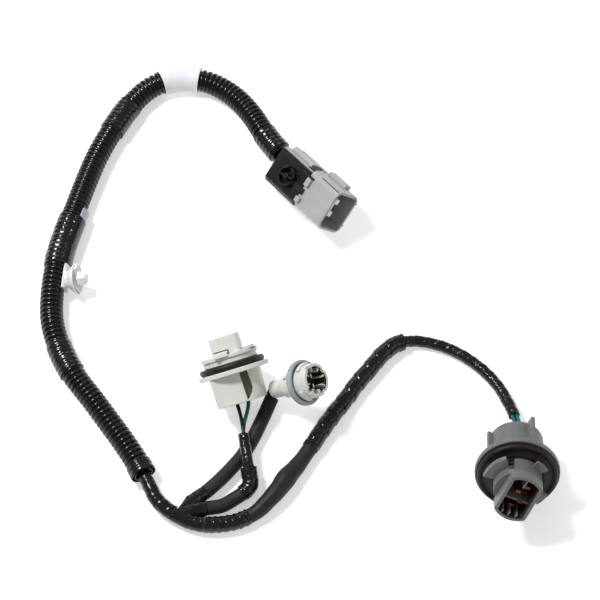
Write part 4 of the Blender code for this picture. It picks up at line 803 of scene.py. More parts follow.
def clip():
    """Nylon strap along the conduit's side, with a dished rosette, a flange plate and a barbed stem."""
    turn = Matrix.Rotation(STRAP_RISE, 4, "Z")
    base = bpy.context.scene.harness_sizes.conduit_crest + FIT_GAP
    strap = bmesh.new()
    marks = marks_between(CLIP_TAPE[0] - STRAP_TAB, CLIP_TAPE[1] + STRAP_TAIL, 0.001)
    skin(strap, [(TRUNK.frame(mark) @ turn, strap_section(base, base + STRAP_THICKNESS)) for mark in marks])
    tab_end = TRUNK.frame(CLIP_TAPE[0]).translation
    for face in strap.faces:
        if (face.calc_center_median() - tab_end).length < STRAP_TAB + 0.004 and \
                (face.calc_center_median() - TRUNK.spot(CLIP_TAPE[0] - STRAP_TAB)).length < STRAP_TAB + 0.0045:
            face.material_index = 1
    seat_frame = TRUNK.frame(ROSETTE_MARK) @ turn @ Matrix.Translation((base + STRAP_THICKNESS, 0, 0))
    outward = seat_frame @ Matrix.Rotation(math.pi / 2, 4, "Y")
    neck = ROSETTE_STEM_RADIUS * 0.55
    dish = filleted((
        (0, -0.0006), (ROSETTE_STEM_RADIUS, -0.0006), (ROSETTE_STEM_RADIUS, 0.0006),
        (ROSETTE_RADIUS, ROSETTE_DEPTH), (ROSETTE_RADIUS - 0.0006, ROSETTE_DEPTH + 0.0006), (neck, 0.0020),
        (neck, ROSETTE_DEPTH + 0.0005), (0, ROSETTE_DEPTH + 0.0005)), 0.0004)
    made = solid("harness_clip", merged(strap, spun(dish, 64, outward)), paints()["natural_nylon"],
                 paints()["tab_nylon"])
    for angle in (-150, 30):
        wedge = prism([(0.0034, -0.0004), (0.0120, -0.0026), (0.0120, 0.0026), (0.0034, 0.0004)], 0.0002, 0.009,
                      outward @ turned(angle))
        combine(made, wedge, "DIFFERENCE")
    stem = bmesh.new()
    hexagon = [(ROSETTE_STEM_RADIUS * math.cos(a), ROSETTE_STEM_RADIUS * math.sin(a))
               for a in (math.pi / 3 * k for k in range(6))]
    plate = filleted(hexagon, 0.0006)
    levels = ((ROSETTE_DEPTH + 0.0003, 0.55), (ROSETTE_DEPTH + 0.0012, 0.98), (ROSETTE_DEPTH + 0.0018, 1.0),
              (ROSETTE_LENGTH - 0.0014, 0.84), (ROSETTE_LENGTH - 0.0003, 0.60), (ROSETTE_LENGTH, 0.50))
    skin(stem, [(outward @ Matrix.Translation((0, 0, z)), [(x * s, y * s) for x, y in plate])
                for z, s in levels])
    combine(made, stem, "UNION")
    even_shading(made)
    return made


class HARNESS_OT_conduit(bpy.types.Operator):
    """Builds the corrugated conduit with its tapes, bare label and clip"""
    bl_idname = "harness.conduit"
    bl_label = "Conduit, Tapes and Clip"

    def execute(self, context):
        sizes = context.scene.harness_sizes
        tube = seat(conduit(), "conduit_plastic", "corrugated_conduit")
        film = paints()["film_tape"]
        bore = sizes.conduit_crest + 0.00012
        middle, half = LABEL_MIDDLE, sizes.label_length / 2
        wraps = (
            ("harness_end_tape", END_TAPE, 1.0, "connector_end_tape"),
            ("harness_upper_tape", UPPER_TAPE, 2.0, "upper_tape_wrap"),
            ("harness_lower_tape", LOWER_TAPE, 4.0, "lower_tape_wrap"),
            ("harness_conduit_end_tape", (CONDUIT_LENGTH - TRUNK_TAPE_OVERLAP, CONDUIT_LENGTH), 5.0,
             "conduit_end_tape"),
        )
        for name, (start, end), seed, node in wraps:
            wrap = covering(name, TRUNK, start, end, WRAP_RADIUS, bore, film, 0.00045,
                            film_relief(sizes.wrinkle, seed))
            seat(wrap, "vinyl_tape", node)

        def overlap(along, angle):
            lap = (angle - 2.2) % (2 * math.pi)
            return 0.00012 * min(1.0, max(0.0, (0.9 - lap) / 0.03)) + 0.00003 * math.sin(along * 900 + angle * 2)

        label = covering("harness_label", TRUNK, middle - half, middle + half, WRAP_RADIUS, bore,
                         paints()["label_film"], 0.001, overlap)
        seat(label, "label_film", "identification_label")
        seat(clip_tape(), "vinyl_tape", "clip_tape_wrap")
        seat(clip(), "natural_nylon", "push_in_clip")
        trunk_tape = trunk_bundle_tape()
        seat(trunk_tape, "vinyl_tape", "trunk_tape")
        return {"FINISHED"}


# Splice and branches


def trunk_bundle_tape():
    """Wound tape on the bare bundle between the conduit and the splice, which thickens towards the splice."""
    start, end = CONDUIT_LENGTH + FIT_GAP / 2, TRUNK.length

    def radius(mark):
        return TRUNK_BORE + 0.0003 + 0.0004 * (mark - start) / (end - start)

    return covering("harness_trunk_tape", TRUNK, start, end, radius, TRUNK_BORE + 0.0001,
                    paints()["glossy_tape"], 0.0004, wound(0.0052, 0.00024, 0.00020, 6.0))


def splice():
    """Taped lump where the branches leave: tape wound on each branch, grown into one at the bundle."""
    bundle = TRUNK_BORE + 0.0008
    sides = 40
    whole = None
    tapes = (("tail", TAIL_RUN, bundle), ("turn", TURN_RUN, SLEEVE_RADIUS + 0.0005),
             ("backup", BACKUP_RUN, SLEEVE_RADIUS + 0.0005))
    root_frame = TRUNK.frame(TRUNK.length)
    for number, (name, run, radius) in enumerate(tapes):
        relief = wound(0.0034, 0.00024, 0.00018, 7.0 + number)
        rings = []
        for step, mark in enumerate(marks_between(-0.004, 0.0, 0.0008)):
            place = root_frame @ Matrix.Translation((0, 0, FIT_GAP + 0.004 + mark * 0.9))
            rings.append((place, round_ring(place, mark, bundle - number * 0.0002, sides, relief)[1]))
        for mark in marks_between(SPLICE_START, SPLICE_END[name] - FIT_GAP, 0.0005):
            blend = min(1.0, (mark - SPLICE_START) / 0.004)
            size = bundle - number * 0.0002 + (radius - bundle) * blend
            rings.append((run.frame(mark), round_ring(None, mark, size, sides, relief)[1]))
        rings = rings[:1] + rings[6:]
        shape = bmesh.new()
        skin(shape, rings)
        if whole:
            combine(whole, shape, "UNION")
        else:
            whole = solid("harness_splice", shape, paints()["glossy_tape"])
    return whole


def tail_sleeve_radius(mark):
    run = mark - TAIL_SPIRAL_END
    for (before, low), (after, high) in zip(TAIL_SLEEVE_SWELLS, TAIL_SLEEVE_SWELLS[1:]):
        if run <= after:
            part = max(0.0, (run - before) / (after - before))
            return TAIL_SLEEVE_RADIUS + low + (high - low) * part * part * (3 - 2 * part)
    return TAIL_SLEEVE_RADIUS + TAIL_SLEEVE_SWELLS[-1][1]


class HARNESS_OT_branches(bpy.types.Operator):
    """Builds the splice, and the sleeves and tapes of the three branches"""
    bl_idname = "harness.branches"
    bl_label = "Splice, Sleeves and Tapes"

    def execute(self, context):
        sizes = context.scene.harness_sizes
        tape, matt = paints()["glossy_tape"], paints()["sleeve_vinyl"]
        wrinkle = sizes.wrinkle
        seat(splice(), "vinyl_tape", "splice_pack")
        soft = crumple(0.00006, 0.0060, 11.0)
        sleeve_run, sleeve_start = BACKUP_SLEEVE_RUN, SPLICE_END["backup"]
        backup = seat(covering("harness_backup_sleeve", sleeve_run, sleeve_start, sleeve_run.length,
                               SLEEVE_RADIUS, SLEEVE_BORE, matt, 0.0012, soft), "sleeve_vinyl", "backup_sleeve")
        tuple(sleeve_run.spot(sleeve_start))
        [sleeve_run.spot(m) for m in marks_between(sleeve_start, sleeve_run.length, 0.003)]
        stem_bore = PAIR_BORE + 0.0001
        turn_sleeve = seat(covering("harness_turn_sleeve", TURN_RUN, SPLICE_END["turn"], TURN_BEND[0] - 0.0001,
                                    SLEEVE_RADIUS, SLEEVE_BORE, matt, 0.0010, soft),
                           "sleeve_vinyl", "turn_sleeve")
        bend = seat(covering("harness_turn_bend", TURN_RUN, *TURN_BEND, SLEEVE_RADIUS + 0.0005, stem_bore, tape,
                             0.0004, wound(0.0030, 0.00026, 0.00026, 12.0)), "vinyl_tape", "turn_bend_tape")
        stem = seat(covering("harness_turn_stem", TURN_RUN, TURN_BEND[1] + 0.0001, TURN_RUN.length,
                             PAIR_BORE + 0.0004, stem_bore, tape, 0.0004, wound(0.0042, 0.00022, 0.00022, 13.0)),
                    "vinyl_tape", "turn_stem_tape")
        spiral = seat(covering("harness_tail_spiral", TAIL_RUN, SPLICE_END["tail"], TAIL_SPIRAL_END,
                               TAIL_SLEEVE_RADIUS + 0.0004, TAIL_BORE + 0.0001, tape, 0.0004,
                               wound(0.0032, 0.00055, 0.00014, 14.0)), "vinyl_tape", "tail_spiral_tape")
        sleeve = seat(covering("harness_tail_sleeve", TAIL_RUN, TAIL_SPIRAL_END + 0.0001, TAIL_SLEEVE_END,
                               tail_sleeve_radius, TAIL_SLEEVE_BORE, matt, 0.0008, crumple(0.00012, 0.007, 15.0)),
                      "sleeve_vinyl", "tail_sleeve")
        glossy = seat(covering("harness_tail_tape", TAIL_RUN, TAIL_SLEEVE_END, TAIL_TAPE_END, TAIL_TAPE_RADIUS,
                               TAIL_SLEEVE_BORE, tape, 0.0004, wound(0.0078, 0.00036, wrinkle, 16.0)),
                      "vinyl_tape", "tail_sleeve_tape")
        lead = seat(covering("harness_tail_lead", TAIL_RUN, TAIL_TAPE_END + 0.0001, LEAD_END,
                             TAIL_BORE + 0.0004, TAIL_BORE + 0.0001, tape, 0.0004,
                             wound(0.0060, 0.00022, 0.00024, 17.0)), "vinyl_tape", "tail_lead_tape")
        for number, slot in ((1, "wire_teal"), (2, "wire_black"), (3, "wire_teal")):
            wire_cord(f"tail_wire_{number}", tail_wire_points(number), slot)
        wire_cord("turn_wire_1", turn_wire_points(1), "wire_black")
        wire_cord("turn_wire_2", turn_wire_points(2), "wire_green")
        return {"FINISHED"}


# Wires


def wire_cord(node, points, slot):
    """One insulated wire: a round curve through these points, in place of its solid."""
    curve = bpy.data.curves.new(f"harness_{node}", "CURVE")
    curve.dimensions = "3D"
    curve.bevel_depth = WIRE_RADIUS
    curve.bevel_resolution = 5
    curve.use_fill_caps = True
    run = curve.splines.new("POLY")
    run.points.add(len(points) - 1)
    for spot, point in zip(run.points, points):
        spot.co = (*point, 1.0)
    run.use_smooth = True
    curve.materials.append(paints()[slot])
    made = bpy.data.objects.new(f"harness_{node}", curve)
    bpy.context.scene.collection.objects.link(made)
    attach(made, "root")
    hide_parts(node)


def branch_wire_points(run, start, offset, target, direction, steps=18):
    """Points of one wire: along a branch, then fanned out to where it enters its socket."""
    points = [run.frame(mark) @ Vector((*offset, 0)) for mark in marks_between(start, run.length, 0.003)]
    last = run.frame(run.length)
    leave = last @ Vector((*offset, 0))
    heading = last.to_3x3() @ Vector((0, 0, 1))
    reach = (target - leave).length / 2.6
    lead = interpolate_bezier(leave, leave + heading * reach, target - direction * reach, target, steps)
    return points[:-1] + lead


def tail_wire_points(number):
    angle = math.pi * 5 / 6 + 2 * math.pi / 3 * (number - 1)
    radius = bundle_ring(3)
    entry = (TAIL_WIRE_SPREAD * math.cos(angle), TAIL_WIRE_SPREAD * math.sin(angle), TAIL_SEAT - FIT_GAP)
    return branch_wire_points(TAIL_RUN, SPLICE_END["tail"], (radius * math.cos(angle), radius * math.sin(angle)),
                              TAIL @ Vector(entry), TAIL.to_3x3() @ Vector((0, 0, 1)))


def turn_wire_points(number):
    angle = math.pi / 2 + math.pi * (number - 1)
    radius = bundle_ring(2)
    side = -1 if number == 1 else 1
    entry = Vector((side * TURN_WIRE_SPREAD, 0, TURN_SEAT - FIT_GAP))
    return branch_wire_points(TURN_RUN, SPLICE_END["turn"], (radius * math.cos(angle), radius * math.sin(angle)),
                              TURN @ entry, TURN.to_3x3() @ Vector((0, 0, 1)))


# Placing the moulded pieces


def placed(centre, x_axis, z_axis):
    along = Vector(z_axis).normalized()
    across = (Vector(x_axis) - along * along.dot(Vector(x_axis))).normalized()
    turn = Matrix((across, along.cross(across), along)).transposed().to_4x4()
    return Matrix.Translation(centre) @ turn


def resting_on_rims(spot, x_axis, z_axis, rims):
    """Frame over this x and y, as low as the rims allow, each given as (radius, z) in the frame."""
    tilt = Vector(z_axis).normalized().z
    height = max(radius * math.sqrt(1 - tilt * tilt) - z * tilt for radius, z in rims)
    return placed((*spot, height), x_axis, z_axis)


def resting_on_corners(spot, x_axis, z_axis, corners):
    lying = placed((*spot, 0), x_axis, z_axis)
    height = -min((lying @ Vector(corner)).z for corner in corners)
    return placed((*spot, height), x_axis, z_axis)


# Turn socket, in its own frame: Z towards the bulb, Y away from the viewer
TURN_FLANGE_RADIUS = 0.0175
TURN_FLANGE_TOP = 0.00115
TURN_BODY_RADIUS = 0.0129
TURN_REAR_RADIUS = 0.0123
TURN_REAR = -TURN_FLANGE_TOP - 0.0145
TURN_SEAT = TURN_REAR + 0.0035
TURN_NECK_RADIUS = 0.0120
TURN_NECK_TOP = TURN_FLANGE_TOP + 0.0058
TURN_DISC_RADIUS = 0.01415
TURN_DISC_TOP = TURN_NECK_TOP + 0.0021
TURN_TOP = TURN_DISC_TOP + 0.0087
TURN_TOWER = (0.0151, 0.0208)
TURN_BLOCK_WIDTH = 0.0146
TURN_BLOCK_SHIFT = -0.0048
TURN_GASKET_TOP = TURN_FLANGE_TOP + 0.0032
TURN_WIRE_SPREAD = 0.0030
TURN = resting_on_rims((-0.0299, -0.0525), (0.957, 0.251, 0.145), (-0.290, 0.829, 0.4785),
                       ((TURN_REAR_RADIUS, TURN_REAR), (TURN_FLANGE_RADIUS, -TURN_FLANGE_TOP)))

# Backup socket, in its own frame: Z towards the bulb
BACKUP = placed((0.0041, -0.0629, 0.0256), (-0.246, 0.839, 0.4845), (0.710, -0.184, 0.679))
BACKUP_STEM_RADIUS = 0.0044
BACKUP_BODY_RADIUS = 0.0057
BACKUP_FLANGE_RADIUS = 0.0098
BACKUP_BARREL_RADIUS = 0.0083
BACKUP_BARREL_LENGTH = 0.0085
BACKUP_BORE_RADIUS = 0.0063
BACKUP_GASKET_HALF = 0.00145
BACKUP_FLANGE_LOW = -BACKUP_GASKET_HALF - FIT_GAP - 0.0011
BACKUP_BODY_LOW = BACKUP_FLANGE_LOW - 0.0096
BACKUP_REAR = BACKUP_BODY_LOW - 0.0077
BACKUP_BORE_FLOOR = BACKUP_BARREL_LENGTH - 0.0077

# Tail socket, in its own frame: Z towards the bulb, Y up and towards the viewer
TAIL_SKIRT_RADIUS = 0.0126
TAIL_FLANGE_RADIUS = 0.0202
TAIL_FLANGE_TOP = 0.0010
TAIL_FLANGE_LOW = TAIL_FLANGE_TOP - 0.0024
TAIL_REAR = TAIL_FLANGE_LOW - 0.0203
TAIL_SEAT = TAIL_REAR + 0.0095
TAIL_BARREL_RADIUS = 0.0116
TAIL_BLOCK_LOW = TAIL_FLANGE_TOP + 0.0122
TAIL_BLOCK_RADIUS = 0.0123
TAIL_BLOCK_FLATS = 0.0161
TAIL_TOP = TAIL_BLOCK_LOW + 0.0085
TAIL_BLOCK_TURN = 64
TAIL_WIRE_SPREAD = 0.0040
TAIL_CONTACTS = ((-0.0066, 0.0012), (-0.0030, -0.0018), (0.0022, 0.0018), (0.0062, -0.0012))
TAIL_CONTACT_LENGTH = 0.0116
TAIL = resting_on_rims((0.1050, -0.1077), (1.0, -0.025, 0.043), (-0.040, -0.920, 0.393),
                       ((TAIL_SKIRT_RADIUS, TAIL_REAR), (TAIL_FLANGE_RADIUS, TAIL_FLANGE_LOW)))

# Connector, in its own frame: Z out of the mouth, X across the latch side, Y out of the broad face
SHROUD = (0.0218, 0.0168, 0.0035)
SHROUD_LENGTH = 0.0215
SHROUD_WALL = 0.0014
SHROUD_FLOOR = 0.0185
REAR = (0.0180, 0.0130, 0.0015)
REAR_END = -(SHROUD_LENGTH + 0.0258)
SEAL_WALL = 0.0015
SEAL_DEPTH = 0.0045
CAVITY_RADIUS = 0.00135
CAVITIES = ((0.0, 0.0021), (0.0044, 0.0021), (0.0022, -0.0021), (-0.0022, -0.0021), (-0.0044, 0.0021))
HOLDER_THICKNESS = 0.0018
CONNECTOR = resting_on_corners(
    (0.0214, 0.0357), (0.5278, 0.5800, 0.6208), (0.5762, -0.7808, 0.2397),
    [(x, y, z)
     for z, section in ((0.0, SHROUD), (-SHROUD_LENGTH, SHROUD), (REAR_END, REAR))
     for x, y in rectangle(*section, 3)])


def soft_block(low, high, radius=0.0003, place=None, segments=2):
    """A box between two corners, with its edges rounded."""
    shape = block(low, high)
    bmesh.ops.bevel(shape, geom=shape.edges[:], offset=radius, offset_type="OFFSET", segments=segments,
                    profile=0.5, affect="EDGES", material=-1)
    if place:
        bmesh.ops.transform(shape, matrix=place, verts=shape.verts)
    return shape


def soft_prism(outline, low, high, radius=0.0003, place=None):
    """A prism whose end edges are chamfered."""
    shape = prism(outline, low, high)
    caps = [face for face in shape.faces if len(face.verts) == len(outline)]
    edges = {edge for face in caps for edge in face.edges}
    bmesh.ops.bevel(shape, geom=list(edges), offset=radius, offset_type="OFFSET", segments=2, profile=0.5,
                    affect="EDGES", material=-1)
    if place:
        bmesh.ops.transform(shape, matrix=place, verts=shape.verts)
    return shape


def soft_rod(radius, start, end, edge=0.0003, sides=48):
    start, end = Vector(start), Vector(end)
    turn = (end - start).to_track_quat("Z", "Y").to_matrix().to_4x4()
    height = (end - start).length
    outline = filleted(((0, 0), (radius, 0), (radius, height), (0, height)), edge)
    return spun(outline, sides, Matrix.Translation(start) @ turn)


def gasket(name, bore, radius, low, thickness, inner_lip, place, paint, slot, node):
    """Ring gasket with a raised outer lip, a valley and a raised inner lip."""
    top = low + thickness
    valley = (radius + inner_lip) / 2
    outline = filleted((
        (bore, low), (radius - 0.0006, low), (radius, low + thickness * 0.30), (radius, low + thickness * 0.72),
        (radius - 0.0006, top), (radius - 0.0015, top), (valley + 0.0004, low + thickness * 0.55),
        (valley - 0.0004, low + thickness * 0.55), (inner_lip, top), (bore, top)), 0.0005)
    ring = solid(name, spun(outline, 128), paint)
    return seat(ring, slot, node, place=place)


class HARNESS_OT_turn_socket(bpy.types.Operator):
    """Builds the turn lamp's socket with its bayonet tower, gasket and scooped body"""
    bl_idname = "harness.turn_socket"
    bl_label = "Turn Socket"

    def execute(self, context):
        body = solid("harness_turn_socket", spun(filleted((
            (0, TURN_SEAT), (0.0070, TURN_SEAT), (0.0070, TURN_REAR), (TURN_REAR_RADIUS, TURN_REAR),
            (TURN_BODY_RADIUS, -TURN_FLANGE_TOP), (TURN_FLANGE_RADIUS, -TURN_FLANGE_TOP),
            (TURN_FLANGE_RADIUS, TURN_FLANGE_TOP), (TURN_NECK_RADIUS, TURN_FLANGE_TOP),
            (TURN_NECK_RADIUS, TURN_GASKET_TOP), (TURN_NECK_RADIUS + 0.0013, TURN_GASKET_TOP),
            (TURN_NECK_RADIUS + 0.0013, TURN_NECK_TOP + 0.0004), (0, TURN_NECK_TOP + 0.0004)), 0.0004), 128),
            paints()["light_socket"], paints()["socket_slot"], paints()["socket_bore"])
        # Painted shade: the scoop is painted in the darker olive grey of slot 1, standing in for the shade that falls
        # in it.
        scoop = [(0.0025, -0.00118), (0.0065, -0.00118), (0.0069, -0.0097), (0.0058, -0.0123), (0.0029, -0.0152)]
        combine(body, prism(scoop, 0.0070, 0.0165, Matrix.Rotation(math.pi / 2, 4, "X")), "DIFFERENCE", 1)
        face = rectangle(TURN_BLOCK_WIDTH, 0.0060, 0.0012, 6, x=TURN_BLOCK_SHIFT, y=0.0032 - TURN_BODY_RADIUS)
        combine(body, soft_prism(face, TURN_REAR + 0.0002, 0.0, 0.0004), "UNION")
        disc = spun(filleted(((0, TURN_NECK_TOP - 0.0002), (TURN_DISC_RADIUS, TURN_NECK_TOP),
                              (TURN_DISC_RADIUS, TURN_DISC_TOP), (0, TURN_DISC_TOP)), 0.0004), 128)
        combine(body, disc, "UNION")
        across, back = TURN_TOWER[0] / 2, TURN_TOWER[1] / 2
        corners = filleted([(across, back), (-across, back), (-across, -back), (across - 0.0010, -back),
                            (across, 0.0048 - back)], 0.0026, 5)
        tower = bmesh.new()
        skin(tower, [(Matrix.Translation((0, 0, z)), [(x * size, y * size) for x, y in corners])
                     for z, size in ((TURN_DISC_TOP - 0.0006, 1.0), (TURN_TOP - 0.0005, 0.985),
                                     (TURN_TOP - 0.0001, 0.965), (TURN_TOP, 0.94))])
        combine(body, tower, "UNION")
        for low, high in (((-0.0068, -0.0150, 0.0079), (-0.0001, -0.0100, 0.0104)),
                          ((0.0070, -0.0100, 0.0093), (0.0128, -0.0040, 0.0104))):
            combine(body, soft_block(low, high, 0.0004), "UNION")
        # Painted shade: the bore is painted dark brown where shade falls inside it.
        combine(body, rod(0.0062, (0, 0, TURN_TOP - 0.0150), (0, 0, TURN_TOP + 0.002), 64), "DIFFERENCE", 2)
        # Painted shade: the side slot, the groove over the lug and the hole take the darker olive grey of slot 1,
        # where shade falls.
        combine(body, block((0.0040, -0.0021, TURN_TOP - 0.0065), (across + 0.002, 0.0021, TURN_TOP + 0.002)),
                "DIFFERENCE", 1)
        for middle, span in ((205, 26), (330, 20)):
            notch = prism(sector_outline(TURN_DISC_RADIUS - 0.0013, TURN_DISC_RADIUS + 0.002, middle, span),
                          TURN_NECK_TOP + 0.0009, TURN_DISC_TOP + 0.001)
            combine(body, notch, "DIFFERENCE")
        combine(body, block((-0.0066, -back - 0.001, 0.01055), (0.0006, 0.0012 - back, 0.0111)), "DIFFERENCE", 1)
        combine(body, block((0.0001, -0.0152, 0.0086), (0.0010, -0.0098, 0.0106)), "DIFFERENCE", 1)
        seat(body, "light_socket", "turn_socket", place=TURN)
        gasket("harness_turn_gasket", TURN_NECK_RADIUS + 0.0001, 0.0162, TURN_FLANGE_TOP + 0.0001, 0.0030,
               TURN_NECK_RADIUS + 0.0012, TURN, paints()["black_rubber"], "black_rubber", "turn_gasket")
        return {"FINISHED"}


class HARNESS_OT_backup_socket(bpy.types.Operator):
    """Builds the backup lamp's socket with its stem, flange, gasket and castellated mouth"""
    bl_idname = "harness.backup_socket"
    bl_label = "Backup Socket"

    def execute(self, context):
        flange_top = BACKUP_FLANGE_LOW + 0.0011
        body = solid("harness_backup_socket", spun(filleted((
            (0, BACKUP_REAR), (BACKUP_STEM_RADIUS - 0.0002, BACKUP_REAR),
            (BACKUP_STEM_RADIUS, BACKUP_REAR + 0.0008),
            (BACKUP_STEM_RADIUS, BACKUP_BODY_LOW), (BACKUP_BODY_RADIUS, BACKUP_BODY_LOW + 0.0016),
            (BACKUP_BODY_RADIUS, BACKUP_FLANGE_LOW), (BACKUP_FLANGE_RADIUS, BACKUP_FLANGE_LOW),
            (BACKUP_FLANGE_RADIUS, flange_top), (BACKUP_BARREL_RADIUS, flange_top),
            (BACKUP_BARREL_RADIUS, BACKUP_BARREL_LENGTH), (0, BACKUP_BARREL_LENGTH)), 0.0004), 96),
            paints()["light_socket"], paints()["socket_bore"])
        # Painted shade: the bore is painted dark brown where shade falls inside it.
        combine(body, rod(BACKUP_BORE_RADIUS + 0.0004, (0, 0, BACKUP_BORE_FLOOR),
                          (0, 0, BACKUP_BARREL_LENGTH + 0.002), 64), "DIFFERENCE", 1)
        low = BACKUP_GASKET_HALF + 0.0012
        for middle, span in ((20, 52), (140, 52), (262, 42)):
            lug = sector_outline(BACKUP_BARREL_RADIUS - 0.0008, BACKUP_BARREL_RADIUS + 0.0011, middle, span)
            combine(body, soft_prism(lug, low, low + 0.0022, 0.00025), "UNION")
        boss = sector_outline(BACKUP_BODY_RADIUS - 0.0020, BACKUP_BODY_RADIUS + 0.0014, 20, 62)
        combine(body, soft_prism(boss, BACKUP_BODY_LOW + 0.0040, BACKUP_FLANGE_LOW + 0.0004, 0.0003), "UNION")
        for number in range(8):
            outline = [(0.0046, -0.0002), (0.0046, 0.0002), (BACKUP_BORE_RADIUS + 0.0008, 0.0005),
                       (BACKUP_BORE_RADIUS + 0.0008, -0.0005)]
            rib = prism(outline, BACKUP_BORE_FLOOR - 0.0002, BACKUP_BARREL_LENGTH - 0.0006, turned(45 * number + 10))
            combine(body, rib, "UNION")
        for number in range(4):
            gap = block((BACKUP_BORE_RADIUS - 0.002, -0.0011, BACKUP_BARREL_LENGTH - 0.0012),
                        (BACKUP_BARREL_RADIUS + 0.002, 0.0011, BACKUP_BARREL_LENGTH + 0.002), turned(90 * number + 32))
            combine(body, gap, "DIFFERENCE")
        seat(body, "light_socket", "backup_socket", place=BACKUP)
        section = filleted(((0.0084, -0.00145), (0.0106, -0.00145), (0.0112, -0.0009), (0.0112, 0.0009),
                            (0.0107, 0.0016), (0.0097, 0.0016), (0.00925, 0.0008), (0.0091, -0.0006),
                            (0.0084, -0.0006)), 0.0004)
        ring = solid("harness_backup_gasket", spun(section, 128), paints()["blue_grey_rubber"])
        seat(ring, "blue_grey_rubber", "backup_gasket", place=BACKUP)
        return {"FINISHED"}


class HARNESS_OT_tail_socket(bpy.types.Operator):
    """Builds the tail lamp's socket with its finned skirt, gasket, lugs and deep mouth"""
    bl_idname = "harness.tail_socket"
    bl_label = "Tail Socket"

    def execute(self, context):
        inner = TAIL_SKIRT_RADIUS - 0.0015
        outer = TAIL_SKIRT_RADIUS + 0.0005
        body = solid("harness_tail_socket", spun(filleted((
            (0, TAIL_SEAT), (inner, TAIL_SEAT), (inner, TAIL_REAR), (outer, TAIL_REAR),
            (outer, TAIL_FLANGE_LOW), (TAIL_FLANGE_RADIUS, TAIL_FLANGE_LOW),
            (TAIL_FLANGE_RADIUS, TAIL_FLANGE_TOP + 0.0005), (TAIL_FLANGE_RADIUS - 0.0009, TAIL_FLANGE_TOP + 0.0005),
            (TAIL_FLANGE_RADIUS - 0.0009, TAIL_FLANGE_TOP), (TAIL_BARREL_RADIUS, TAIL_FLANGE_TOP),
            (TAIL_BARREL_RADIUS, TAIL_BLOCK_LOW + 0.0006), (0, TAIL_BLOCK_LOW + 0.0006)), 0.0003), 128),
            paints()["mid_socket"], paints()["socket_bore"])
        for angle, reach, rise in zip((64, 155, 245, 350), (0.0180, 0.0153, 0.0156, 0.0151),
                                      (0.0002, 0.0002, 0.0030, 0.0030)):
            fin = soft_block((TAIL_SKIRT_RADIUS - 0.0010, -0.00095, TAIL_REAR + rise),
                             (reach, 0.00095, TAIL_FLANGE_LOW + 0.0004), 0.0003, turned(angle))
            combine(body, fin, "UNION")
        for angle, span, reach, low, high in ((136.5, 53, 0.0170, 0.0070, 0.0097), (104.5, 15, 0.0143, 0.0070, 0.0097),
                                              (41, 28, 0.0158, 0.0066, 0.0080), (-40, 28, 0.0158, 0.0070, 0.0092)):
            lug = sector_outline(TAIL_BARREL_RADIUS - 0.0010, reach, angle, span, 16)
            combine(body, soft_prism(lug, low, high, 0.0004), "UNION")
        place = turned(TAIL_BLOCK_TURN)
        head = flat_sided(TAIL_BLOCK_FLATS / 2, TAIL_BLOCK_RADIUS)
        combine(body, soft_prism(head, TAIL_BLOCK_LOW, TAIL_TOP, 0.0006, place), "UNION")
        slant = Matrix.Translation((0, -TAIL_BLOCK_RADIUS, TAIL_TOP)) @ Matrix.Rotation(math.radians(-8), 4, "X")
        combine(body, block((-0.02, -0.001, 0), (0.02, 0.032, 0.012), slant), "DIFFERENCE")
        # Painted shade: the mouth's walls are painted dark brown where shade falls inside it.
        mouth = flat_sided(TAIL_BLOCK_FLATS / 2 - 0.0017, TAIL_BLOCK_RADIUS - 0.0015)
        combine(body, prism(mouth, TAIL_TOP - 0.0142, TAIL_TOP + 0.002, place), "DIFFERENCE", 1)
        floor, low_edge = TAIL_TOP - 0.0143, -TAIL_BLOCK_RADIUS + 0.0009
        ribs = [((0.0058, 0.0, floor), (0.0114, 0.0009, 0.0183)),
                ((-0.0027, -0.0066, floor), (-0.0018, 0.0066, TAIL_TOP - 0.0040))]
        ribs += [((low_edge, y - 0.0004, floor), (-0.0082, y + 0.0004, TAIL_TOP - 0.0012))
                 for y in (-0.0036, 0.0002, 0.0038)]
        for low, high in ribs:
            combine(body, soft_block(low, high, 0.0002, place), "UNION")
        seat(body, "mid_socket", "tail_socket", place=TAIL)
        strips = []
        for x, y in TAIL_CONTACTS:
            stand = place @ Matrix.Translation((x, y + 0.0012, TAIL_TOP - 0.0142)) @ Matrix.Rotation(math.pi / 2, 4, "X")
            bent = [(-0.0003, 0.0), (0.0003, 0.0), (0.0003, TAIL_CONTACT_LENGTH - 0.0016),
                    (0.0016, TAIL_CONTACT_LENGTH - 0.0008), (0.0013, TAIL_CONTACT_LENGTH),
                    (-0.0003, TAIL_CONTACT_LENGTH - 0.0010)]
            strips.append(prism(bent, 0.0, 0.0024, stand))
        contacts = solid("harness_tail_contacts", merged(*strips), paints()["copper"])
        seat(contacts, "copper", *[f"tail_contact_{number}" for number in range(1, 5)], place=TAIL)
        gasket("harness_tail_gasket", TAIL_BARREL_RADIUS + 0.0001, 0.0192, TAIL_FLANGE_TOP + 0.0006, 0.0025,
               0.0132, TAIL, paints()["black_rubber"], "black_rubber", "tail_gasket")
        return {"FINISHED"}


def flat_sided(half, radius):
    """Outline of a round head with two flat sides."""
    end = math.asin(half / radius)
    arc = [-end + 2 * end * k / 24 for k in range(25)]
    outline = [(radius * math.cos(a), radius * math.sin(a)) for a in arc]
    return outline + [(-x, -y) for x, y in outline]


def cavity_rods(radius, start, end):
    return merged(*[rod(radius, (x, y, start), (x, y, end), 32) for x, y in CAVITIES])


class HARNESS_OT_connector(bpy.types.Operator):
    """Builds the grey connector housing, its white lock plate, black holder and blades"""
    bl_idname = "harness.connector"
    bl_label = "Connector"

    def execute(self, context):
        housing()
        lock()
        holder()
        return {"FINISHED"}


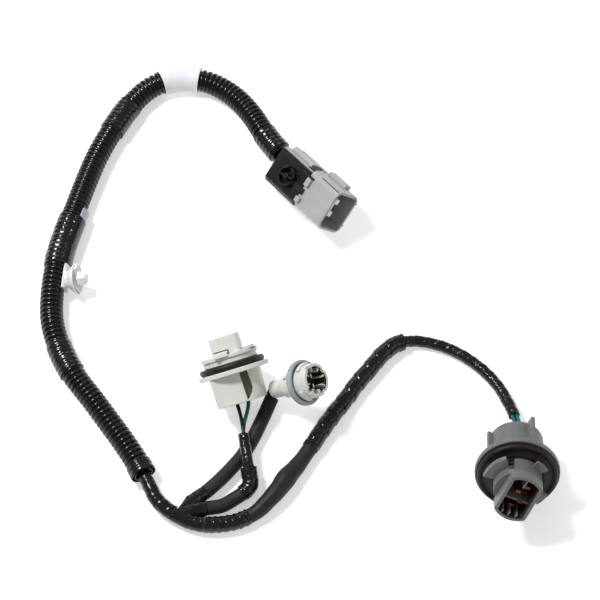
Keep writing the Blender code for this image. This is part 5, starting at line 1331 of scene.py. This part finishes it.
def housing():
    recess = (REAR[0] - 2 * SEAL_WALL, REAR[1] - 2 * SEAL_WALL, REAR[2])
    mouth = (SHROUD[0] - 2 * SHROUD_WALL, SHROUD[1] - 2 * SHROUD_WALL, SHROUD[2] - SHROUD_WALL)

    def inset(section, amount):
        return tuple(size - 2 * amount for size in section[:2]) + (max(0.0004, section[2] - amount),)

    sections = (
        (REAR_END + SEAL_DEPTH, recess), (REAR_END, recess), (REAR_END, inset(REAR, 0.0003)),
        (REAR_END + 0.0003, REAR), (-SHROUD_LENGTH, REAR), (-SHROUD_LENGTH, inset(SHROUD, 0.0005)),
        (-SHROUD_LENGTH + 0.0002, inset(SHROUD, 0.00015)), (-SHROUD_LENGTH + 0.0005, SHROUD),
        (-0.0003, SHROUD), (-0.0001, inset(SHROUD, 0.0001)), (0.0, inset(SHROUD, 0.0003)),
        (0.0, inset(mouth, -0.0002)), (-0.0003, mouth), (-SHROUD_FLOOR, mouth),
    )
    shape = bmesh.new()
    skin(shape, [(Matrix.Translation((0, 0, z)), rectangle(*section, 8)) for z, section in sections])
    body = solid("harness_housing", shape, paints()["grey_nylon"], paints()["grey_recess"])
    side, outer_side, outer_top = REAR[0] / 2, SHROUD[0] / 2, SHROUD[1] / 2
    start, end = REAR_END + 0.0020, -SHROUD_LENGTH + 0.0004
    middle = side - SEAL_WALL + 0.0019 + FIT_GAP
    parts = [
        soft_rod(0.0019, (middle, 0.0008, start), (middle, 0.0008, end + 0.0002), 0.0004),
        soft_block((side - 0.001, -0.0058, start), (side + 0.0016, -0.0038, end), 0.0003),
        soft_block((outer_side - 0.001, -0.0066, -SHROUD_LENGTH + 0.0005),
                   (outer_side + 0.0018, -0.0022, -SHROUD_LENGTH + 0.0145), 0.0004),
    ]
    for x, width in ((0.0036, 0.0046), (-0.0066, 0.0030)):
        parts.append(soft_block((x - width / 2, outer_top - 0.001, -SHROUD_LENGTH + 0.0003),
                                (x + width / 2, outer_top + 0.0016, -SHROUD_LENGTH + 0.0034), 0.0003))
    for x in (-0.0060, 0.0070):
        parts.append(soft_rod(0.0006, (x, -outer_top + 0.0004, -0.0008), (x, -outer_top - 0.0010, -0.0008),
                              0.0002, 24))
    for part in parts:
        combine(body, part, "UNION")
    combine(body, cavity_rods(CAVITY_RADIUS, REAR_END + SEAL_DEPTH - 0.001, -SHROUD_FLOOR + 0.001), "DIFFERENCE")
    # Painted shade: the side slot, the triangular pocket and the corner groove take the dark grey of slot 1, where
    # shade falls.
    combine(body, block((outer_side + 0.0006, -0.0050, -SHROUD_LENGTH + 0.0015),
                        (outer_side + 0.003, -0.0045, -SHROUD_LENGTH + 0.0135)), "DIFFERENCE", 1)
    side_on = Matrix(((0, 0, 1, 0), (1, 0, 0, 0), (0, 1, 0, 0), (0, 0, 0, 1)))
    recess = prism([(0.0062, -0.0276), (0.0027, -0.0288), (0.0006, -0.0218), (0.0060, -0.0218)],
                   side - 0.0002, side + 0.0040, side_on)
    combine(body, recess, "DIFFERENCE", 1)
    groove = block((-0.0004, -0.00025, -0.0146), (0.001, 0.00025, -0.0006),
                   Matrix.Translation((outer_side - 0.00103, outer_top - 0.00103, 0)) @ turned(45))
    combine(body, groove, "DIFFERENCE", 1)
    return seat(body, "grey_nylon", "connector_housing", place=CONNECTOR)


def lock():
    """White plate on the mouth's floor, round the blades, with two posts that reach towards the mouth."""
    width = SHROUD[0] - 2 * SHROUD_WALL - 2 * FIT_GAP
    height = SHROUD[1] - 2 * SHROUD_WALL - 2 * FIT_GAP
    back = -SHROUD_FLOOR + 0.0001
    plate = soft_prism(rectangle(width, height, SHROUD[2] - SHROUD_WALL - FIT_GAP, 6), back, back + 0.0030, 0.0003)
    body = solid("harness_lock", plate, paints()["white_nylon"])
    ledge = soft_block((-0.0036, height / 2 - 0.0012, back + 0.001), (0.0066, height / 2 - 0.0001, -0.0007))
    combine(body, ledge, "UNION")
    for x in (-0.0021, 0.0050):
        combine(body, soft_block((x - 0.0014, height / 2 - 0.0030, back + 0.001),
                                 (x + 0.0014, height / 2 - 0.0002, -0.0003)), "UNION")
    combine(body, cavity_rods(CAVITY_RADIUS, back - 0.001, back + 0.004), "DIFFERENCE")
    return seat(body, "white_nylon", "connector_terminal_lock", place=CONNECTOR)


def holder():
    """Black slide-on holder over the broad face, with its curled anchor."""
    under = REAR[1] / 2 + 0.0001
    top = under + HOLDER_THICKNESS
    left = -REAR[0] / 2 - FIT_GAP
    front = -SHROUD_LENGTH - FIT_GAP
    back = REAR_END + 0.0006
    outer_top_of_shroud = SHROUD[1] / 2 + 0.00015
    edge = left - HOLDER_THICKNESS
    section = [(0.0086, under), (0.0086, top), (edge + 0.0020, top), (edge, under + 0.0004), (edge, -0.0010),
               (left, -0.0010), (left, under)]
    body = solid("harness_holder", soft_prism(filleted(section, 0.0003, 2), back, front, 0.0002),
                 paints()["black_nylon"])
    lug = soft_block((edge - 0.0002, 0.0020, back + 0.0092), (left - 0.0002, 0.0060, back + 0.0177), 0.0003)
    combine(body, lug, "UNION")
    spot = (Matrix.Translation((-0.0010, top, back + 0.0143)) @ Matrix.Rotation(-math.pi / 2, 4, "X"))
    for inner, outer, middle, span, height in ((0.0042, 0.0052, 135, 230, 0.0034), (0.0038, 0.0048, -40, 90, 0.0024)):
        curl = prism(sector_outline(inner, outer, middle, span, 28), -0.0006, height, spot)
        combine(body, curl, "UNION")
    combine(body, soft_block((-0.0046, -0.0006, -0.0004), (0.0046, 0.0006, 0.0032), 0.0002, spot @ turned(-80)),
            "UNION")
    combine(body, soft_rod(0.0016, spot @ Vector((0, 0, -0.0006)), spot @ Vector((0, 0, 0.0036)), 0.0003), "UNION")
    for low, high, reach in ((-0.0036, -0.0004, 0.0026), (0.0061, 0.0071, 0.0042)):
        tongue = soft_block((low, top - 0.0004, front - 0.0040), (high, top + 0.0013, front + reach), 0.0003)
        combine(body, tongue, "UNION")
        combine(body, block((low - 0.0001, top - 0.0010, front), (high + 0.0001, outer_top_of_shroud, front + reach + 0.001)),
                "DIFFERENCE")
    for z in (0.006, 0.011, 0.016):
        combine(body, block((edge - 0.001, 0.0008, back + z), (edge + 0.0003, 0.0016, back + z + 0.0022)),
                "DIFFERENCE")
    return seat(body, "black_nylon", "connector_clip_holder", place=CONNECTOR)


class HARNESS_OT_kept_solids(bpy.types.Operator):
    """Gives the solids that stay as they are their finishes"""
    bl_idname = "harness.kept_solids"
    bl_label = "Blades, Contacts and Hidden Wires"

    def execute(self, context):
        made = paints()
        for number in range(1, 6):
            repaint(f"connector_pin_{number}", made["tinned_brass"])
            repaint(f"trunk_wire_{number}", made["wire_black"])
        for number in (1, 2):
            repaint(f"turn_contact_{number}", made["tinned_brass"])
            repaint(f"backup_contact_{number}", made["tinned_brass"])
            repaint(f"backup_wire_{number}", made["wire_black"])
        repaint("connector_wire_seal", made["black_rubber"])
        return {"FINISHED"}


class HARNESS_PT_panel(bpy.types.Panel):
    """Sizes, colours and pieces of the harness"""
    bl_label = "Wiring Harness"
    bl_idname = "HARNESS_PT_panel"
    bl_space_type = "VIEW_3D"
    bl_region_type = "UI"
    bl_category = "Harness"

    def draw(self, context):
        for group in (context.scene.harness_sizes, context.scene.harness_colours):
            column = self.layout.column(align=True)
            for name in group.__annotations__:
                column.prop(group, name)
        column = self.layout.column(align=True)
        for step in STEPS:
            column.operator(step.bl_idname)


STEPS = (HARNESS_OT_stage, HARNESS_OT_conduit, HARNESS_OT_branches, HARNESS_OT_turn_socket,
         HARNESS_OT_backup_socket, HARNESS_OT_tail_socket, HARNESS_OT_connector, HARNESS_OT_kept_solids)
CLASSES = (HarnessSizes, HarnessColours, *STEPS, HARNESS_PT_panel)


def register():
    for item in CLASSES:
        bpy.utils.register_class(item)
    bpy.types.Scene.harness_sizes = PointerProperty(type=HarnessSizes)
    bpy.types.Scene.harness_colours = PointerProperty(type=HarnessColours)


def unregister():
    del bpy.types.Scene.harness_colours
    del bpy.types.Scene.harness_sizes
    for item in reversed(CLASSES):
        bpy.utils.unregister_class(item)


def main():
    register()
    for step in STEPS:
        family, name = step.bl_idname.split(".")
        getattr(getattr(bpy.ops, family), name)()


if __name__ == "__main__":
    main()
